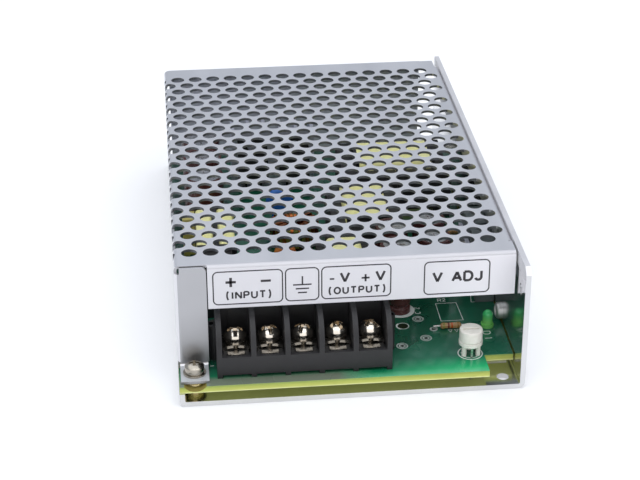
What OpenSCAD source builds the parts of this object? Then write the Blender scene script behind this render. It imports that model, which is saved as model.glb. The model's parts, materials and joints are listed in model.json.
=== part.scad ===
// Enclosed DC-DC converter: a bent sheet chassis and a perforated cover round a board with screw terminals.
// Millimetres. The origin is at the middle of the underside, +Z is up and the terminals face -Y.

/* [Chassis] */
// Length of the chassis, front to rear
case_l = 159; // [155:1:185]
// Width over the chassis
case_w = 97; // [95:1:120]
// Height to the top of the right wall
case_h = 38; // [36:0.5:50]
// Thickness of the chassis sheet
chassis_t = 1.5; // [1.2:0.1:2]
// Inner radius of the chassis bends
chassis_bend = 0.5; // [0.3:0.1:1.5]
// Height of the low left edge, on which the board rests
left_edge_h = 4; // [3.6:0.2:6]
// Cut at the upper front corner of the right wall
corner_cut = 2; // [0.5:0.5:4]
// Diameter of the plain mounting holes
mount_d = 3.5; // [3:0.1:4.2]
// Floor mounting hole, from the right face
floor_hole_side = 5.6; // [5.2:0.1:8]
// Floor mounting hole, from the front edge
floor_hole_front = 4.2; // [3:0.1:6]
// Wall mounting hole, from the front edge
wall_hole_front = 5.4; // [4:0.1:8]
// Wall mounting hole, above the underside
wall_hole_z = 29; // [20:0.5:32]
// Bore of the threaded mounting holes
tap_d = 3; // [2.5:0.1:3.4]
// Threaded floor holes, spacing across
tap_span_x = 70; // [50:1:76]
// Threaded floor holes, spacing along
tap_span_y = 110; // [80:1:116]
// First clinch nut, from the front edge
nut_front = 28.7; // [24:0.1:34]
// Distance between the clinch nuts
nut_pitch = 100; // [80:1:110]
// Clinch nut axis, above the underside
nut_z = 9; // [9:0.5:12]
// Diameter of a clinch nut
nut_d = 5; // [4.6:0.1:6]
// Height of a clinch nut inside the wall
nut_h = 1.9; // [1.2:0.1:2.4]

/* [Cover] */
// Thickness of the cover sheet
cover_t = 0.8; // [0.6:0.1:1]
// Inner radius of the cover bends
cover_bend = 0.6; // [0.4:0.1:1]
// Cover top below the top of the wall
cover_drop = 0.3; // [0:0.1:1]
// Gap between the cover and the chassis sheets
side_gap = 0.1; // [0.05:0.05:0.3]
// Front lip, from the front edge
lip_setback = 11; // [10:0.5:13]
// Lower edge of the lip above the terminal block
lip_gap = 2; // [1:0.5:4]
// Right end of the lip, from the flange face
lip_side = 0.4; // [0.4:0.1:1.2]
// Width of the front corner tab
tab_w = 8.8; // [8.4:0.1:9.8]
// Slit between the tab and the lip
tab_slit = 0.3; // [0.2:0.05:0.4]
// Radius of the tab's upper corner
tab_round = 1.3; // [0.5:0.1:2]
// Height of the relief at the upper corner
corner_relief = 2; // [1.6:0.1:3]
// Reach of the foot in front of the tab
foot_l = 8.9; // [8:0.1:9.8]
// Foot edge, in from the left face
foot_inset = 0.6; // [0.2:0.1:1]
// Inner radius of the bend between tab and foot
foot_bend = 0.9; // [0.6:0.1:2]
// Height of the right flange below its bend
flange_h = 7; // [6:0.5:8]
// Front end of the right flange, from the front edge
flange_front = 18; // [16:0.5:24]
// Rear end of the right flange, from the rear edge
flange_rear = 9; // [6:0.5:14]
// Screws of the right flange, in from its ends
flange_screw_in = 14; // [8:0.5:30]
// Rear panel, from the rear edge
rear_setback = 1.8; // [0:0.1:3]
// Gap between the rear panel and the right wall
rear_gap = 6; // [2:0.5:8]
// Gap between the rear panel and the floor
rear_clear = 0.5; // [0.2:0.1:1.5]

/* [Perforation] */
// Diameter of the vent holes
hole_d = 4.4; // [3:0.1:4.6]
// Distance between the holes of a row
hole_pitch = 6; // [5.6:0.1:7]
// Distance between the rows
row_pitch = 5.3; // [5:0.1:7]
// First row behind the front bend
first_row = 7.35; // [5:0.05:10]
// Space kept free at the rear bend
rear_margin = 7; // [5:0.5:12]
// First hole of a row, from the left face
first_column = 4.5; // [4.5:0.1:5]
// Space kept free at the right edge
edge_margin = 3.5; // [3.5:0.5:8]
// Rows of holes down the left wall
wall_holes = 4; // [2:1:4]

/* [Board] */
// Thickness of the board
board_t = 2; // [1.6:0.1:2.4]
// Front edge of the board, behind the chassis edge
board_front = 0.5; // [0:0.1:1]
// Gap between the board and the cover's left wall
board_gap = 0.1; // [0.1:0.05:0.5]
// Gap between the board and the right wall
board_right_gap = 0.3; // [0.2:0.1:1.2]
// Gap between the board and the rear panel
board_rear_gap = 0.6; // [0.3:0.1:2]
// Front right notch, from the right wall
notch_w = 8.6; // [8:0.1:9.4]
// Front right notch, from the front edge
notch_l = 8.9; // [7:0.1:10]
// Hole in the board round the front standoff
foot_hole_d = 6.6; // [6.4:0.1:7]
// Width of the scoop in the board's edge in front of that hole
scoop_w = 6.2; // [5:0.1:6.3]
// Board left under the scoop
scoop_rim = 0.4; // [0.3:0.1:0.8]
// Thickness of the insulating sheet under the board
film_t = 0.3; // [0.2:0.05:0.5]
// Front edge of the insulating sheet
film_front = 12; // [11:0.5:16]

/* [Fasteners] */
// Diameter of a standoff
standoff_d = 5; // [4.6:0.1:6]
// Thread diameter of the small screws
screw_d = 2.9; // [2.4:0.1:2.9]
// Bore that takes a small screw
screw_bore = 3; // [3:0.1:3.2]
// Clearance hole of a small screw
screw_clear = 3.4; // [3.2:0.1:3.6]
// Head diameter of a small screw
head_d = 5.5; // [5:0.1:6]
// Head height of a small screw
head_h = 2.2; // [1.6:0.1:2.6]
// Gap between the foot screw's washer and the bend of the foot
washer_gap = 0.3; // [0.1:0.1:0.6]
// Rear board screws, in from the edges of the board
board_screw_in = 5; // [4.5:0.1:7]
// Thickness of the flat washer
flat_washer_t = 0.5; // [0.4:0.1:0.8]
// Diameter of the flat washer
flat_washer_d = 6.4; // [6:0.1:7]
// Thickness of the spring washer
spring_washer_t = 0.8; // [0.6:0.1:1]
// Diameter of the spring washer
spring_washer_d = 5.4; // [5:0.1:6]

/* [Terminal block] */
// Distance between the terminals
cell_pitch = 9.5; // [9.3:0.1:10]
// Thickness of a barrier
barrier_t = 1.5; // [1.2:0.1:1.6]
// Left end of the block, from the left face of the case
block_left = 10.8; // [10.6:0.1:14]
// Front of the block, from the front edge
block_front = 4; // [2:0.5:5]
// Depth of the block
block_d = 16.5; // [16:0.5:20]
// Height of the barriers above the board
block_h = 16.5; // [15:0.5:18]
// Radius at the front of a barrier
barrier_round = 8; // [4:0.5:8.5]
// Height of the feet under the block
block_foot = 1; // [0.6:0.1:1.4]
// Height of the cell floor above the board
cell_floor = 5.4; // [5.2:0.1:6.4]
// Height of the front sill above the board
sill_h = 6.6; // [6.4:0.1:7]
// Thickness of the front sill
sill_t = 1.2; // [1:0.1:1.6]
// Thickness of the rear wall
back_t = 2.5; // [1.5:0.1:2.8]
// Skin left under the screw wells
well_skin = 0.6; // [0.4:0.1:0.8]
// Radius of the end ears
ear_r = 2.2; // [1.6:0.1:2.4]
// Height of the end ears above the board
ear_h = 11; // [8:0.5:13]
// Hole in an end ear
ear_hole_d = 1.6; // [1:0.1:2]
// Ear axis, behind the front of the block
ear_y = 12; // [11:0.5:13]

/* [Terminals] */
// Screw axis, behind the front of the block
term_y = 8.4; // [8.2:0.1:8.8]
// Thread diameter of a terminal screw
term_d = 3.4; // [3:0.1:3.5]
// Length of a terminal screw under its head
term_l = 5.4; // [4.8:0.1:5.8]
// Head diameter of a terminal screw
term_head_d = 6.4; // [5:0.1:7]
// Height of the rim of the head
term_rim_h = 1.6; // [0.6:0.1:2]
// Height of the dome on the head
term_dome_h = 2; // [0.8:0.1:2]
// Width of the driver slot
term_slot_w = 1.2; // [0.6:0.1:1.4]
// Depth of the driver slot
term_slot_h = 1.4; // [0.5:0.1:1.6]
// Length of the driver cross
term_cross_l = 4.2; // [3:0.1:4.6]
// Depth of the driver cross
term_cross_h = 1.8; // [1:0.1:2]
// Gap round the thread in the contact plate
thread_gap = 0.1; // [0.05:0.05:0.15]
// Gap round the thread in the clamp plate
clamp_gap = 0.2; // [0.1:0.05:0.3]
// Gap round the thread in the screw well
well_gap = 0.5; // [0.3:0.1:0.8]
// Thickness of a contact plate
plate_t = 0.8; // [0.6:0.1:1]
// Width of a contact plate
plate_w = 7; // [6.4:0.1:7.4]
// Width of the tongue of a contact plate
tongue_w = 4.7; // [4:0.1:5.5]
// Front of the tongue, behind the front of the block
tongue_front = 2.2; // [1.8:0.1:2.8]
// Length of the tongue
tongue_l = 2.4; // [1.5:0.1:3]
// Width of the leg of a contact plate
leg_w = 1.4; // [1:0.1:1.6]
// Leads and legs below the board
lead_below = 1.2; // [0.8:0.1:1.5]
// Gap between a clamp plate and its cell
clamp_side = 0.2; // [0.1:0.05:0.4]
// Length of a clamp plate
clamp_l = 7.2; // [6.6:0.1:7.6]
// Thickness of a clamp plate
clamp_t = 0.8; // [0.6:0.1:1]
// Rise of a clamp plate between its sides
clamp_arch = 0.7; // [0.3:0.1:1]
// Width of the notch at the front of a clamp plate
clamp_notch = 1.4; // [0.8:0.1:2]

/* [Trimmer] */
// Trimmer axis, from the right wall
trim_side = 12.5; // [12:0.1:16]
// Trimmer axis, from the front edge
trim_front = 10.4; // [8:0.1:13]
// Diameter of the trimmer base
trim_base_d = 6.8; // [6:0.1:7.4]
// Thickness of the trimmer base
trim_base_t = 1.2; // [0.8:0.1:1.6]
// Underside of the trimmer base above the board
trim_lift = 3.4; // [2:0.1:4]
// Diameter of the knob
knob_d = 6.6; // [5.6:0.1:7.2]
// Height of the knob
knob_h = 3.5; // [2.5:0.1:4.5]
// Gap between the knob and its base
knob_gap = 0.1; // [0.05:0.05:0.2]
// Edge radius of the knob
knob_round = 0.4; // [0.2:0.1:0.8]
// Width of the knob's slot
knob_slot_w = 0.8; // [0.6:0.1:1.2]
// Depth of the knob's slot
knob_slot_h = 0.9; // [0.6:0.1:1.4]
// Diameter of the knob's pivot
pivot_d = 2; // [1.6:0.1:2.4]
// Gap round the pivot
pivot_gap = 0.05; // [0.03:0.01:0.1]

/* [Lamp and resistor] */
// LED axis, from the right wall
led_side = 4.8; // [3.4:0.1:6]
// LED axis, from the front edge
led_front = 25.2; // [22:0.1:26]
// Diameter of the LED
led_d = 3; // [2.8:0.1:3.4]
// Height of the LED to the top of its dome
led_h = 5.3; // [4.5:0.1:6]
// Width of the LED's flange round its body
led_rim = 0.4; // [0.3:0.1:0.6]
// Resistor's middle, from the right wall
res_side = 15.7; // [15:0.1:18]
// Resistor's middle, from the front edge
res_front = 24.8; // [22:0.1:27]
// Length of the resistor body
res_l = 6.3; // [5.5:0.1:7]
// Diameter of the resistor's ends
res_d = 2; // [1.8:0.1:2.6]
// Distance between the resistor's lead holes
res_span = 10; // [9.5:0.1:11]
// Diameter of the component leads
lead_d = 0.6; // [0.5:0.05:0.7]
// Diameter of the lead holes in the board
lead_hole_d = 1; // [0.9:0.05:1.2]

/* [Wound parts] */
// Transformer core: length, width, height
transformer_size = [35, 28, 12]; // [6:0.5:40]
// Transformer core: outer leg, end bar, middle leg
transformer_legs = [5.5, 4.5, 8]; // [2:0.1:9]
// Output choke core: length, width, height
output_choke_size = [33, 22, 10]; // [6:0.5:40]
// Output choke core: outer leg, end bar, middle leg
output_choke_legs = [4, 4, 6]; // [2:0.1:9]
// Filter choke core: length, width, height
filter_choke_size = [21, 16, 9]; // [6:0.5:40]
// Filter choke core: outer leg, end bar, middle leg
filter_choke_legs = [2.6, 3, 4.4]; // [2:0.1:9]
// Input choke core: length, width, height
input_choke_size = [36, 8.6, 12]; // [6:0.2:40]
// Input choke core: leg, end bar
input_choke_legs = [2.2, 5]; // [2:0.1:6]
// Width of one coil of the input choke
input_coil_w = 4.8; // [4.4:0.1:5.2]
// Underside of the input choke core above the board
input_choke_lift = 7.7; // [4:0.1:9]
// Build-up of the windings on their tubes
winding_build = 2.4; // [1.5:0.1:2.6]
// Wall of a bobbin tube
tube_t = 0.6; // [0.4:0.1:0.7]
// Thickness of a bobbin flange
bobbin_flange = 1; // [0.6:0.1:1.4]
// Gap between the pieces of a wound part
wound_fit = 0.1; // [0.05:0.05:0.15]
// Gap between the two halves of a core
core_gap = 0.2; // [0.1:0.05:0.4]
// Outer diameter of the ring core
ring_d = 13.6; // [12:0.1:15]
// Bore of the ring core
ring_bore = 8; // [7.6:0.1:9]
// Height of the ring core
ring_h = 6; // [4:0.1:8]
// Wire of the ring core
ring_wire = 0.9; // [0.6:0.1:1]
// Turns on the ring core
ring_turns = 18; // [10:1:20]

/* [Capacitors] */
// Input capacitors: diameter, height
input_cap = [12.5, 21]; // [6:0.5:26]
// Capacitor beside the terminal block: diameter, height
front_cap = [6.3, 15]; // [5:0.1:20]
// Output capacitors: diameter, height
output_cap = [10, 18]; // [6:0.5:26]
// Film capacitor: length, thickness, height
film_cap = [16, 6, 13]; // [4:0.5:20]
// Disc capacitors: diameter, thickness
disc_cap = [9, 3]; // [2.4:0.1:10]
// Dipped capacitors: diameter, thickness
dipped_cap = [7, 4.4]; // [2.4:0.1:8]
// Radius of the crimp round a round capacitor
crimp_r = 0.8; // [0.4:0.1:1.2]
// Length of the leads under discs and dipped capacitors
disc_lift = 3; // [1:0.5:5]

/* [Power parts] */
// Front power device, from the front edge
device_front = 44.7; // [44:0.1:48]
// Distance between the two power devices
device_pitch = 15; // [14.6:0.1:18]
// Width of a power package
device_w = 10; // [9.6:0.1:10.4]
// Thickness of a power package body
device_t = 4.4; // [4:0.1:4.6]
// Height of a power package body
device_h = 9; // [8:0.1:9.4]
// Thickness of a package tab
tab_t = 1.3; // [1:0.1:1.4]
// Height of a package tab above the body
tab_h = 6.4; // [5.5:0.1:6.8]
// Length of the legs above the board
device_leg = 3; // [2:0.1:4]
// Wall of a silicone cap
cap_t = 0.6; // [0.4:0.1:0.8]
// Gap between a cap and its package
cap_fit = 0.1; // [0.05:0.05:0.2]
// Thickness of the clamp bar
bar_t = 1.2; // [1:0.1:2]
// Height of the clamp bar
bar_h = 6; // [5.8:0.1:8]
// Clamp bar axis above the board
bar_z = 11; // [8:0.5:13]
// Heat sink: width, base thickness, height
sink_size = [28, 3, 20]; // [2:0.5:30]
// Length of the heat sink's fins
fin_l = 9; // [6:0.5:12]
// Thickness of a fin
fin_t = 1.2; // [1:0.1:1.6]
// Number of fins
fins = 6; // [4:1:7]

/* [Layout] */
// Places from the right wall and from the front edge: transformer
transformer_at = [21.5, 111]; // [10:0.5:130]
// Output choke
output_choke_at = [34.5, 79.5]; // [10:0.5:130]
// Filter choke
filter_choke_at = [44, 50]; // [10:0.5:130]
// Ring core
ring_at = [56.5, 84]; // [10:0.5:130]
// Capacitor beside the terminal block
front_cap_at = [29.1, 36.8]; // [10:0.1:130]
// First output capacitor
output_cap_at = [17, 45.5]; // [10:0.5:130]
// Distance between the output capacitors
output_cap_pitch = 12; // [11:0.5:14]
// How far the column of output capacitors at the wall is set back
output_cap_back = 3.5; // [3:0.5:6]
// Disc capacitor in front
front_disc_at = [61.5, 46]; // [10:0.5:130]
// First dipped capacitor
dipped_at = [61, 56]; // [10:0.5:130]
// Distance between the dipped capacitors
dipped_pitch = 8; // [5:0.5:12]
// Longer chip
long_chip_at = [15, 72]; // [10:0.5:130]
// Shorter chip
short_chip_at = [14, 84]; // [10:0.5:130]
// First small resistor at the wall
right_small_at = [5, 76]; // [4:0.5:130]
// Distance between these resistors
right_small_pitch = 4; // [2.5:0.5:8]
// Places from the left face and from the front edge: input choke
input_choke_at = [13, 56]; // [8:0.5:130]
// Film capacitor
film_cap_at = [11.5, 80.5]; // [8:0.5:130]
// First input capacitor
input_cap_at = [11, 93]; // [8:0.5:130]
// Distance between the input capacitors
input_cap_pitch = 14; // [13:0.5:18]
// Heat sink
sink_at = [35.5, 126.5]; // [8:0.5:140]
// Disc capacitor at the rear
rear_disc_at = [35.5, 99]; // [8:0.5:130]
// First small resistor in front of the heat sink
left_small_at = [36.5, 104]; // [8:0.5:130]
// Distance between these resistors
left_small_pitch = 5; // [2.5:0.5:8]
// Fuse
fuse_at = [26.5, 30]; // [8:0.5:130]

/* [Hidden] */
$fn = 48;
cells = 5;
screw_turn = [0, 12, -20, 35, 55];   // how far each terminal screw is turned at rest
over = 1;                            // cutters run past the faces that they cut

// Placing in depth is counted from the front edge of the chassis
function fy(d) = d - case_l / 2;

nut_shank_d = nut_d - 0.8;           // the nut's shank is pressed into the wall
sink_h = 1.2;                        // depth of the countersinks of the cover screws

// Faces of the chassis and the cover
left_x = -case_w / 2;
right_in = case_w / 2 - chassis_t;
chassis_out = chassis_bend + chassis_t;
bend_out = cover_bend + cover_t;
top_z = case_h - cover_drop;
left_in = left_x + cover_t;
right_x = right_in - side_gap;
front_y = fy(lip_setback);
rear_y = fy(case_l - rear_setback);
rear_in = rear_y - cover_t;
flat_y0 = front_y + bend_out;
flat_y1 = rear_y - bend_out;
flange_y0 = fy(flange_front);
flange_y1 = fy(case_l - flange_rear);
flange_screw_z = top_z - bend_out - flange_h / 2;

// The board and what stands on it
board_z = left_edge_h;
board_top = board_z + board_t;
board_x0 = left_in + board_gap;
board_x1 = right_in - board_right_gap;
board_y0 = fy(board_front);
board_y1 = rear_in - board_rear_gap;
foot_screw = [left_x + chassis_out + standoff_d / 2, front_y - foot_bend - washer_gap - flat_washer_d / 2];
board_screw_spots = [
  for (x = [board_x0 + board_screw_in, board_x1 - board_screw_in]) [x, board_y1 - board_screw_in]];
tap_spots = [for (x = [-1, 1], y = [-1, 1]) [x * tap_span_x / 2, y * tap_span_y / 2]];
nut_spots = [fy(nut_front), fy(nut_front) + nut_pitch];
flange_screw_spots = [flange_y0 + flange_screw_in, flange_y1 - flange_screw_in];

// Rows and columns of the perforation
rows = floor((flat_y1 - flat_y0 - first_row - rear_margin) / row_pitch) + 1;
columns = floor((right_x - left_x - first_column - hole_pitch / 2 - edge_margin) / hole_pitch) + 1;
wall_first = 2.5;                    // first wall hole below the top

// Terminal block
block_x0 = left_x + block_left;
block_w = cells * cell_pitch + barrier_t;
block_y0 = fy(block_front);
lip_z = board_top + block_h + lip_gap;
plate_rear = block_d - back_t - wound_fit;
leg_y = plate_rear - plate_t / 2;
leg_hole_d = leg_w + 0.6;
plate_top = cell_floor + plate_t;
clamp_w = cell_pitch - barrier_t - 2 * clamp_side;
clamp_top = plate_top + clamp_arch + clamp_t;
function cell_x(i) = block_x0 + barrier_t / 2 + (i - 0.5) * cell_pitch;

// Front parts of the board
trim_spot = [right_in - trim_side, fy(trim_front)];
trim_post_d = 1.4;
trim_angles = [30, 150, 270];
trim_post_r = trim_base_d / 2 - trim_post_d / 2 - 0.4;
led_spot = [right_in - led_side, fy(led_front)];
led_lead_x = 1.27;
res_spot = [right_in - res_side, fy(res_front)];
test_pads = [[24.4, 31.1], [23.7, 20], [31.2, 16.3]];   // from the right wall, from the front edge
open_hole = [29.4, 27.5];
open_hole_d = 3;

// Places of the inner parts
function from_left(p) = [left_x + p[0], fy(p[1])];
function from_right(p) = [right_in - p[0], fy(p[1])];
transformer_spot = from_right(transformer_at);
output_choke_spot = from_right(output_choke_at);
filter_choke_spot = from_right(filter_choke_at);
input_choke_spot = from_left(input_choke_at);
ring_spot = from_right(ring_at);
film_cap_spot = from_left(film_cap_at);
input_cap_spots = [for (i = [0 : 2]) from_left(input_cap_at + [0, i * input_cap_pitch])];
front_cap_spot = from_right(front_cap_at);
output_cap_spots = [
  for (i = [0, 1], j = [0, 1])
    from_right(output_cap_at + [i, j] * output_cap_pitch + [0, (1 - i) * output_cap_back])];
disc_spots = [from_right(front_disc_at), from_left(rear_disc_at)];
dipped_spots = [for (i = [0, 1]) from_right(dipped_at + [0, i * dipped_pitch])];
sink_spot = from_left(sink_at);
fuse_spot = from_left(fuse_at);
small_spots = [
  for (i = [0 : 2]) from_right(right_small_at + [0, i * right_small_pitch]),
  for (i = [0 : 2]) from_left(left_small_at + [0, i * left_small_pitch])];
chip_spots = [from_right(long_chip_at), from_right(short_chip_at)];
chip_lengths = [9.6, 4.8];
chip_w = 6.4;
chip_t = 3.3;
chip_lift = 0.5;
fuse_size = [9, 3.2];
fuse_span = 13;
small_size = [3.6, 1.8];
small_span = 6;
cap_w = device_w + 2 * (cap_t + cap_fit);
cap_h = device_leg + device_h + tab_h + cap_t + cap_fit;
cap_x0 = right_x - device_t - 2 * (cap_t + cap_fit);
device_spots = [fy(device_front), fy(device_front) + device_pitch];
bar_mid = (device_spots[0] + device_spots[1]) / 2;
bar_x0 = cap_x0 - bar_t;

// Colours
sheet = [0.78, 0.80, 0.83];
steel = [0.72, 0.70, 0.66];
charcoal = [0.22, 0.21, 0.22];
ferrite = [0.16, 0.16, 0.17];
tape = [0.86, 0.74, 0.16];

// Shared shapes

// Section in X and Z drawn out along Y
module along_y(y0, y1) {
  translate([0, y1, 0]) rotate([90, 0, 0]) linear_extrude(y1 - y0) children();
}

// Section in Y and Z drawn out along X
module along_x(x0, x1) {
  translate([x0, 0, 0]) rotate([90, 0, 90]) linear_extrude(x1 - x0) children();
}

// Quarter ring of a sheet bend, in the first quadrant, with tails that run into the flats at its ends
module bend(r, t, tail) {
  intersection() {
    difference() {
      circle(r + t);
      circle(r);
    }
    square(2 * (r + t));
  }
  translate([r, -tail]) square([t, tail]);
  translate([-tail, r]) square([tail, t]);
}

// Rectangle about its middle with round corners
module round_rect(w, h, r) {
  square([w - 2 * r, h], center = true);
  square([w, h - 2 * r], center = true);
  for (x = [-1, 1], y = [-1, 1]) translate([x * (w / 2 - r), y * (h / 2 - r)]) circle(r);
}

// Hole along X through a wall
module hole_x(x, y, z, d, h) {
  translate([x, y, z]) rotate([0, 90, 0]) cylinder(d = d, h = h);
}

// Pan head screw on z = 0, its thread pointing down
module pan_screw(l) {
  cross_w = 0.8;
  cross_l = 2.8;
  dome = head_h / 2;
  ball = (pow(head_d / 2, 2) + pow(dome, 2)) / (2 * dome);
  difference() {
    union() {
      translate([0, 0, -l]) cylinder(d = screw_d, h = l);
      cylinder(d = head_d, h = head_h - dome);
      intersection() {
        translate([0, 0, head_h - ball]) sphere(ball);
        translate([0, 0, head_h - dome]) cylinder(d = head_d, h = dome);
      }
    }
    for (a = [0, 90]) rotate(a) translate([-cross_l / 2, -cross_w / 2, head_h / 2])
      cube([cross_l, cross_w, head_h]);
  }
}

// Round puck on edge, its axis along Y, with two leads down to the board
module leaded_disc(d, t, lift) {
  lead_x = d / 4;
  translate([0, 0, lift + d / 2]) rotate([90, 0, 0]) rotate_extrude() {
    translate([0, -t / 2]) square([d / 2 - t / 2, t]);
    intersection() {
      translate([d / 2 - t / 2, 0]) circle(t / 2);
      translate([0, -t]) square([d, 2 * t]);
    }
  }
  for (s = [-1, 1]) translate([s * lead_x, 0, 0]) cylinder(d = lead_d, h = lift + d / 2);
}

// Axial body along X with swollen ends, its axis on z = 0
module axial_body(l, d) {
  waist = 0.85;
  rotate([0, 90, 0]) rotate_extrude() intersection() {
    union() {
      square([d * waist, l - d / 2], center = true);
      for (s = [-1, 1]) translate([0, s * (l - d) / 2]) circle(d / 2);
    }
    translate([0, -l]) square([d, 2 * l]);
  }
}

// Pair of bent leads of an axial body, down through the board
module axial_leads(l, d, span) {
  sunk = 0.3;
  for (s = [0, 1]) mirror([s, 0, 0]) {
    translate([l / 2 - sunk, 0, 0]) rotate([0, 90, 0]) cylinder(d = lead_d, h = span / 2 - l / 2 + sunk);
    translate([span / 2, 0, 0]) sphere(d = lead_d);
    translate([span / 2, 0, -d / 2 - board_t - lead_below])
      cylinder(d = lead_d, h = d / 2 + board_t + lead_below);
  }
}

// Round capacitor with its crimp, sunk top and vent cross
module round_cap(d, h) {
  rim = 0.9;
  sunk = 0.4;
  vent_w = 0.3;
  crimp_z = 2.4;
  difference() {
    rotate_extrude() difference() {
      square([d / 2, h]);
      translate([d / 2 + crimp_r / 2, crimp_z]) circle(crimp_r);
      translate([0, h - sunk]) square([d / 2 - rim, over]);
    }
    for (a = [0, 90]) rotate(a) translate([-d / 4, -vent_w / 2, h - sunk - vent_w])
      cube([d / 2, vent_w, over]);
  }
}

// Power package standing on its legs, its tab on the face x = 0
module power_package() {
  hole = 3.6;
  body_gap = tab_t / 2;
  translate([-tab_t, -device_w / 2, device_leg]) difference() {
    cube([tab_t, device_w, device_h + tab_h]);
    hole_x(-over, device_w / 2, device_h + tab_h / 2, hole, tab_t + 2 * over);
  }
  translate([-device_t, -device_w / 2, device_leg]) cube([device_t - body_gap, device_w, device_h]);
  leg = 0.7;
  leg_pitch = 2.54;
  for (i = [-1, 0, 1]) translate([-device_t / 2 - leg / 2, i * leg_pitch - leg / 2, 0])
    cube([leg, leg, device_leg]);
}

// Case

module chassis() {
  wall_t = chassis_t + 2 * over;
  color(sheet) difference() {
    along_y(fy(0), fy(case_l)) {
      translate([left_x + chassis_out, 0]) square([case_w - 2 * chassis_out, chassis_t]);
      for (s = [0, 1]) mirror([s, 0]) translate([left_x + chassis_out, chassis_out]) rotate(180)
        bend(chassis_bend, chassis_t, chassis_t / 2);
      translate([left_x, chassis_out]) square([chassis_t, left_edge_h - chassis_out]);
      translate([right_in, chassis_out]) square([chassis_t, case_h - chassis_out]);
    }
    along_x(right_in - over, right_in + chassis_t + over) translate([fy(0), case_h]) rotate(45)
      square(corner_cut * sqrt(2), center = true);
    translate([case_w / 2 - floor_hole_side, fy(floor_hole_front), -over])
      cylinder(d = mount_d, h = wall_t);
    hole_x(right_in - over, fy(wall_hole_front), wall_hole_z, mount_d, wall_t);
    for (p = tap_spots) translate([p[0], p[1], -over]) cylinder(d = tap_d, h = wall_t);
    for (y = nut_spots) hole_x(right_in - over, y, nut_z, nut_shank_d, wall_t);
    hole_x(right_in - over, bar_mid, board_top + bar_z, screw_bore, wall_t);
    for (y = flange_screw_spots) translate([right_in - over, y, flange_screw_z]) rotate([0, 90, 0]) {
      cylinder(d = screw_clear, h = wall_t);
      translate([0, 0, over + chassis_t - sink_h]) cylinder(d1 = screw_clear, d2 = head_d, h = sink_h);
    }
  }
}

module clinch_nuts() {
  color(steel) for (y = nut_spots) difference() {
    union() {
      hole_x(right_in - nut_h, y, nut_z, nut_d, nut_h);
      hole_x(right_in, y, nut_z, nut_shank_d, chassis_t);
    }
    hole_x(right_in - nut_h - over, y, nut_z, tap_d, nut_h + chassis_t + 2 * over);
  }
}

module vent_holes() {
  reach = 2 * cover_t;
  for (j = [0 : rows - 1]) {
    y = flat_y0 + first_row + j * row_pitch;
    odd = j % 2;
    for (i = [0 : columns - 1])
      translate([left_x + first_column + (i + odd / 2) * hole_pitch, y, top_z - reach])
        cylinder(d = hole_d, h = reach + over);
    if (odd == 1) {
      x = first_column - hole_pitch / 2;
      translate([left_x + x, y, top_z - bend_out]) cylinder(d = hole_d, h = bend_out + over);
      hole_x(left_x - over, y, top_z - bend_out + x, hole_d, bend_out + over);
    }
    for (k = [0 : wall_holes - 1])
      hole_x(left_x - over, y, top_z - wall_first - (k + odd / 2) * hole_pitch, hole_d, reach + over);
  }
}

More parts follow.
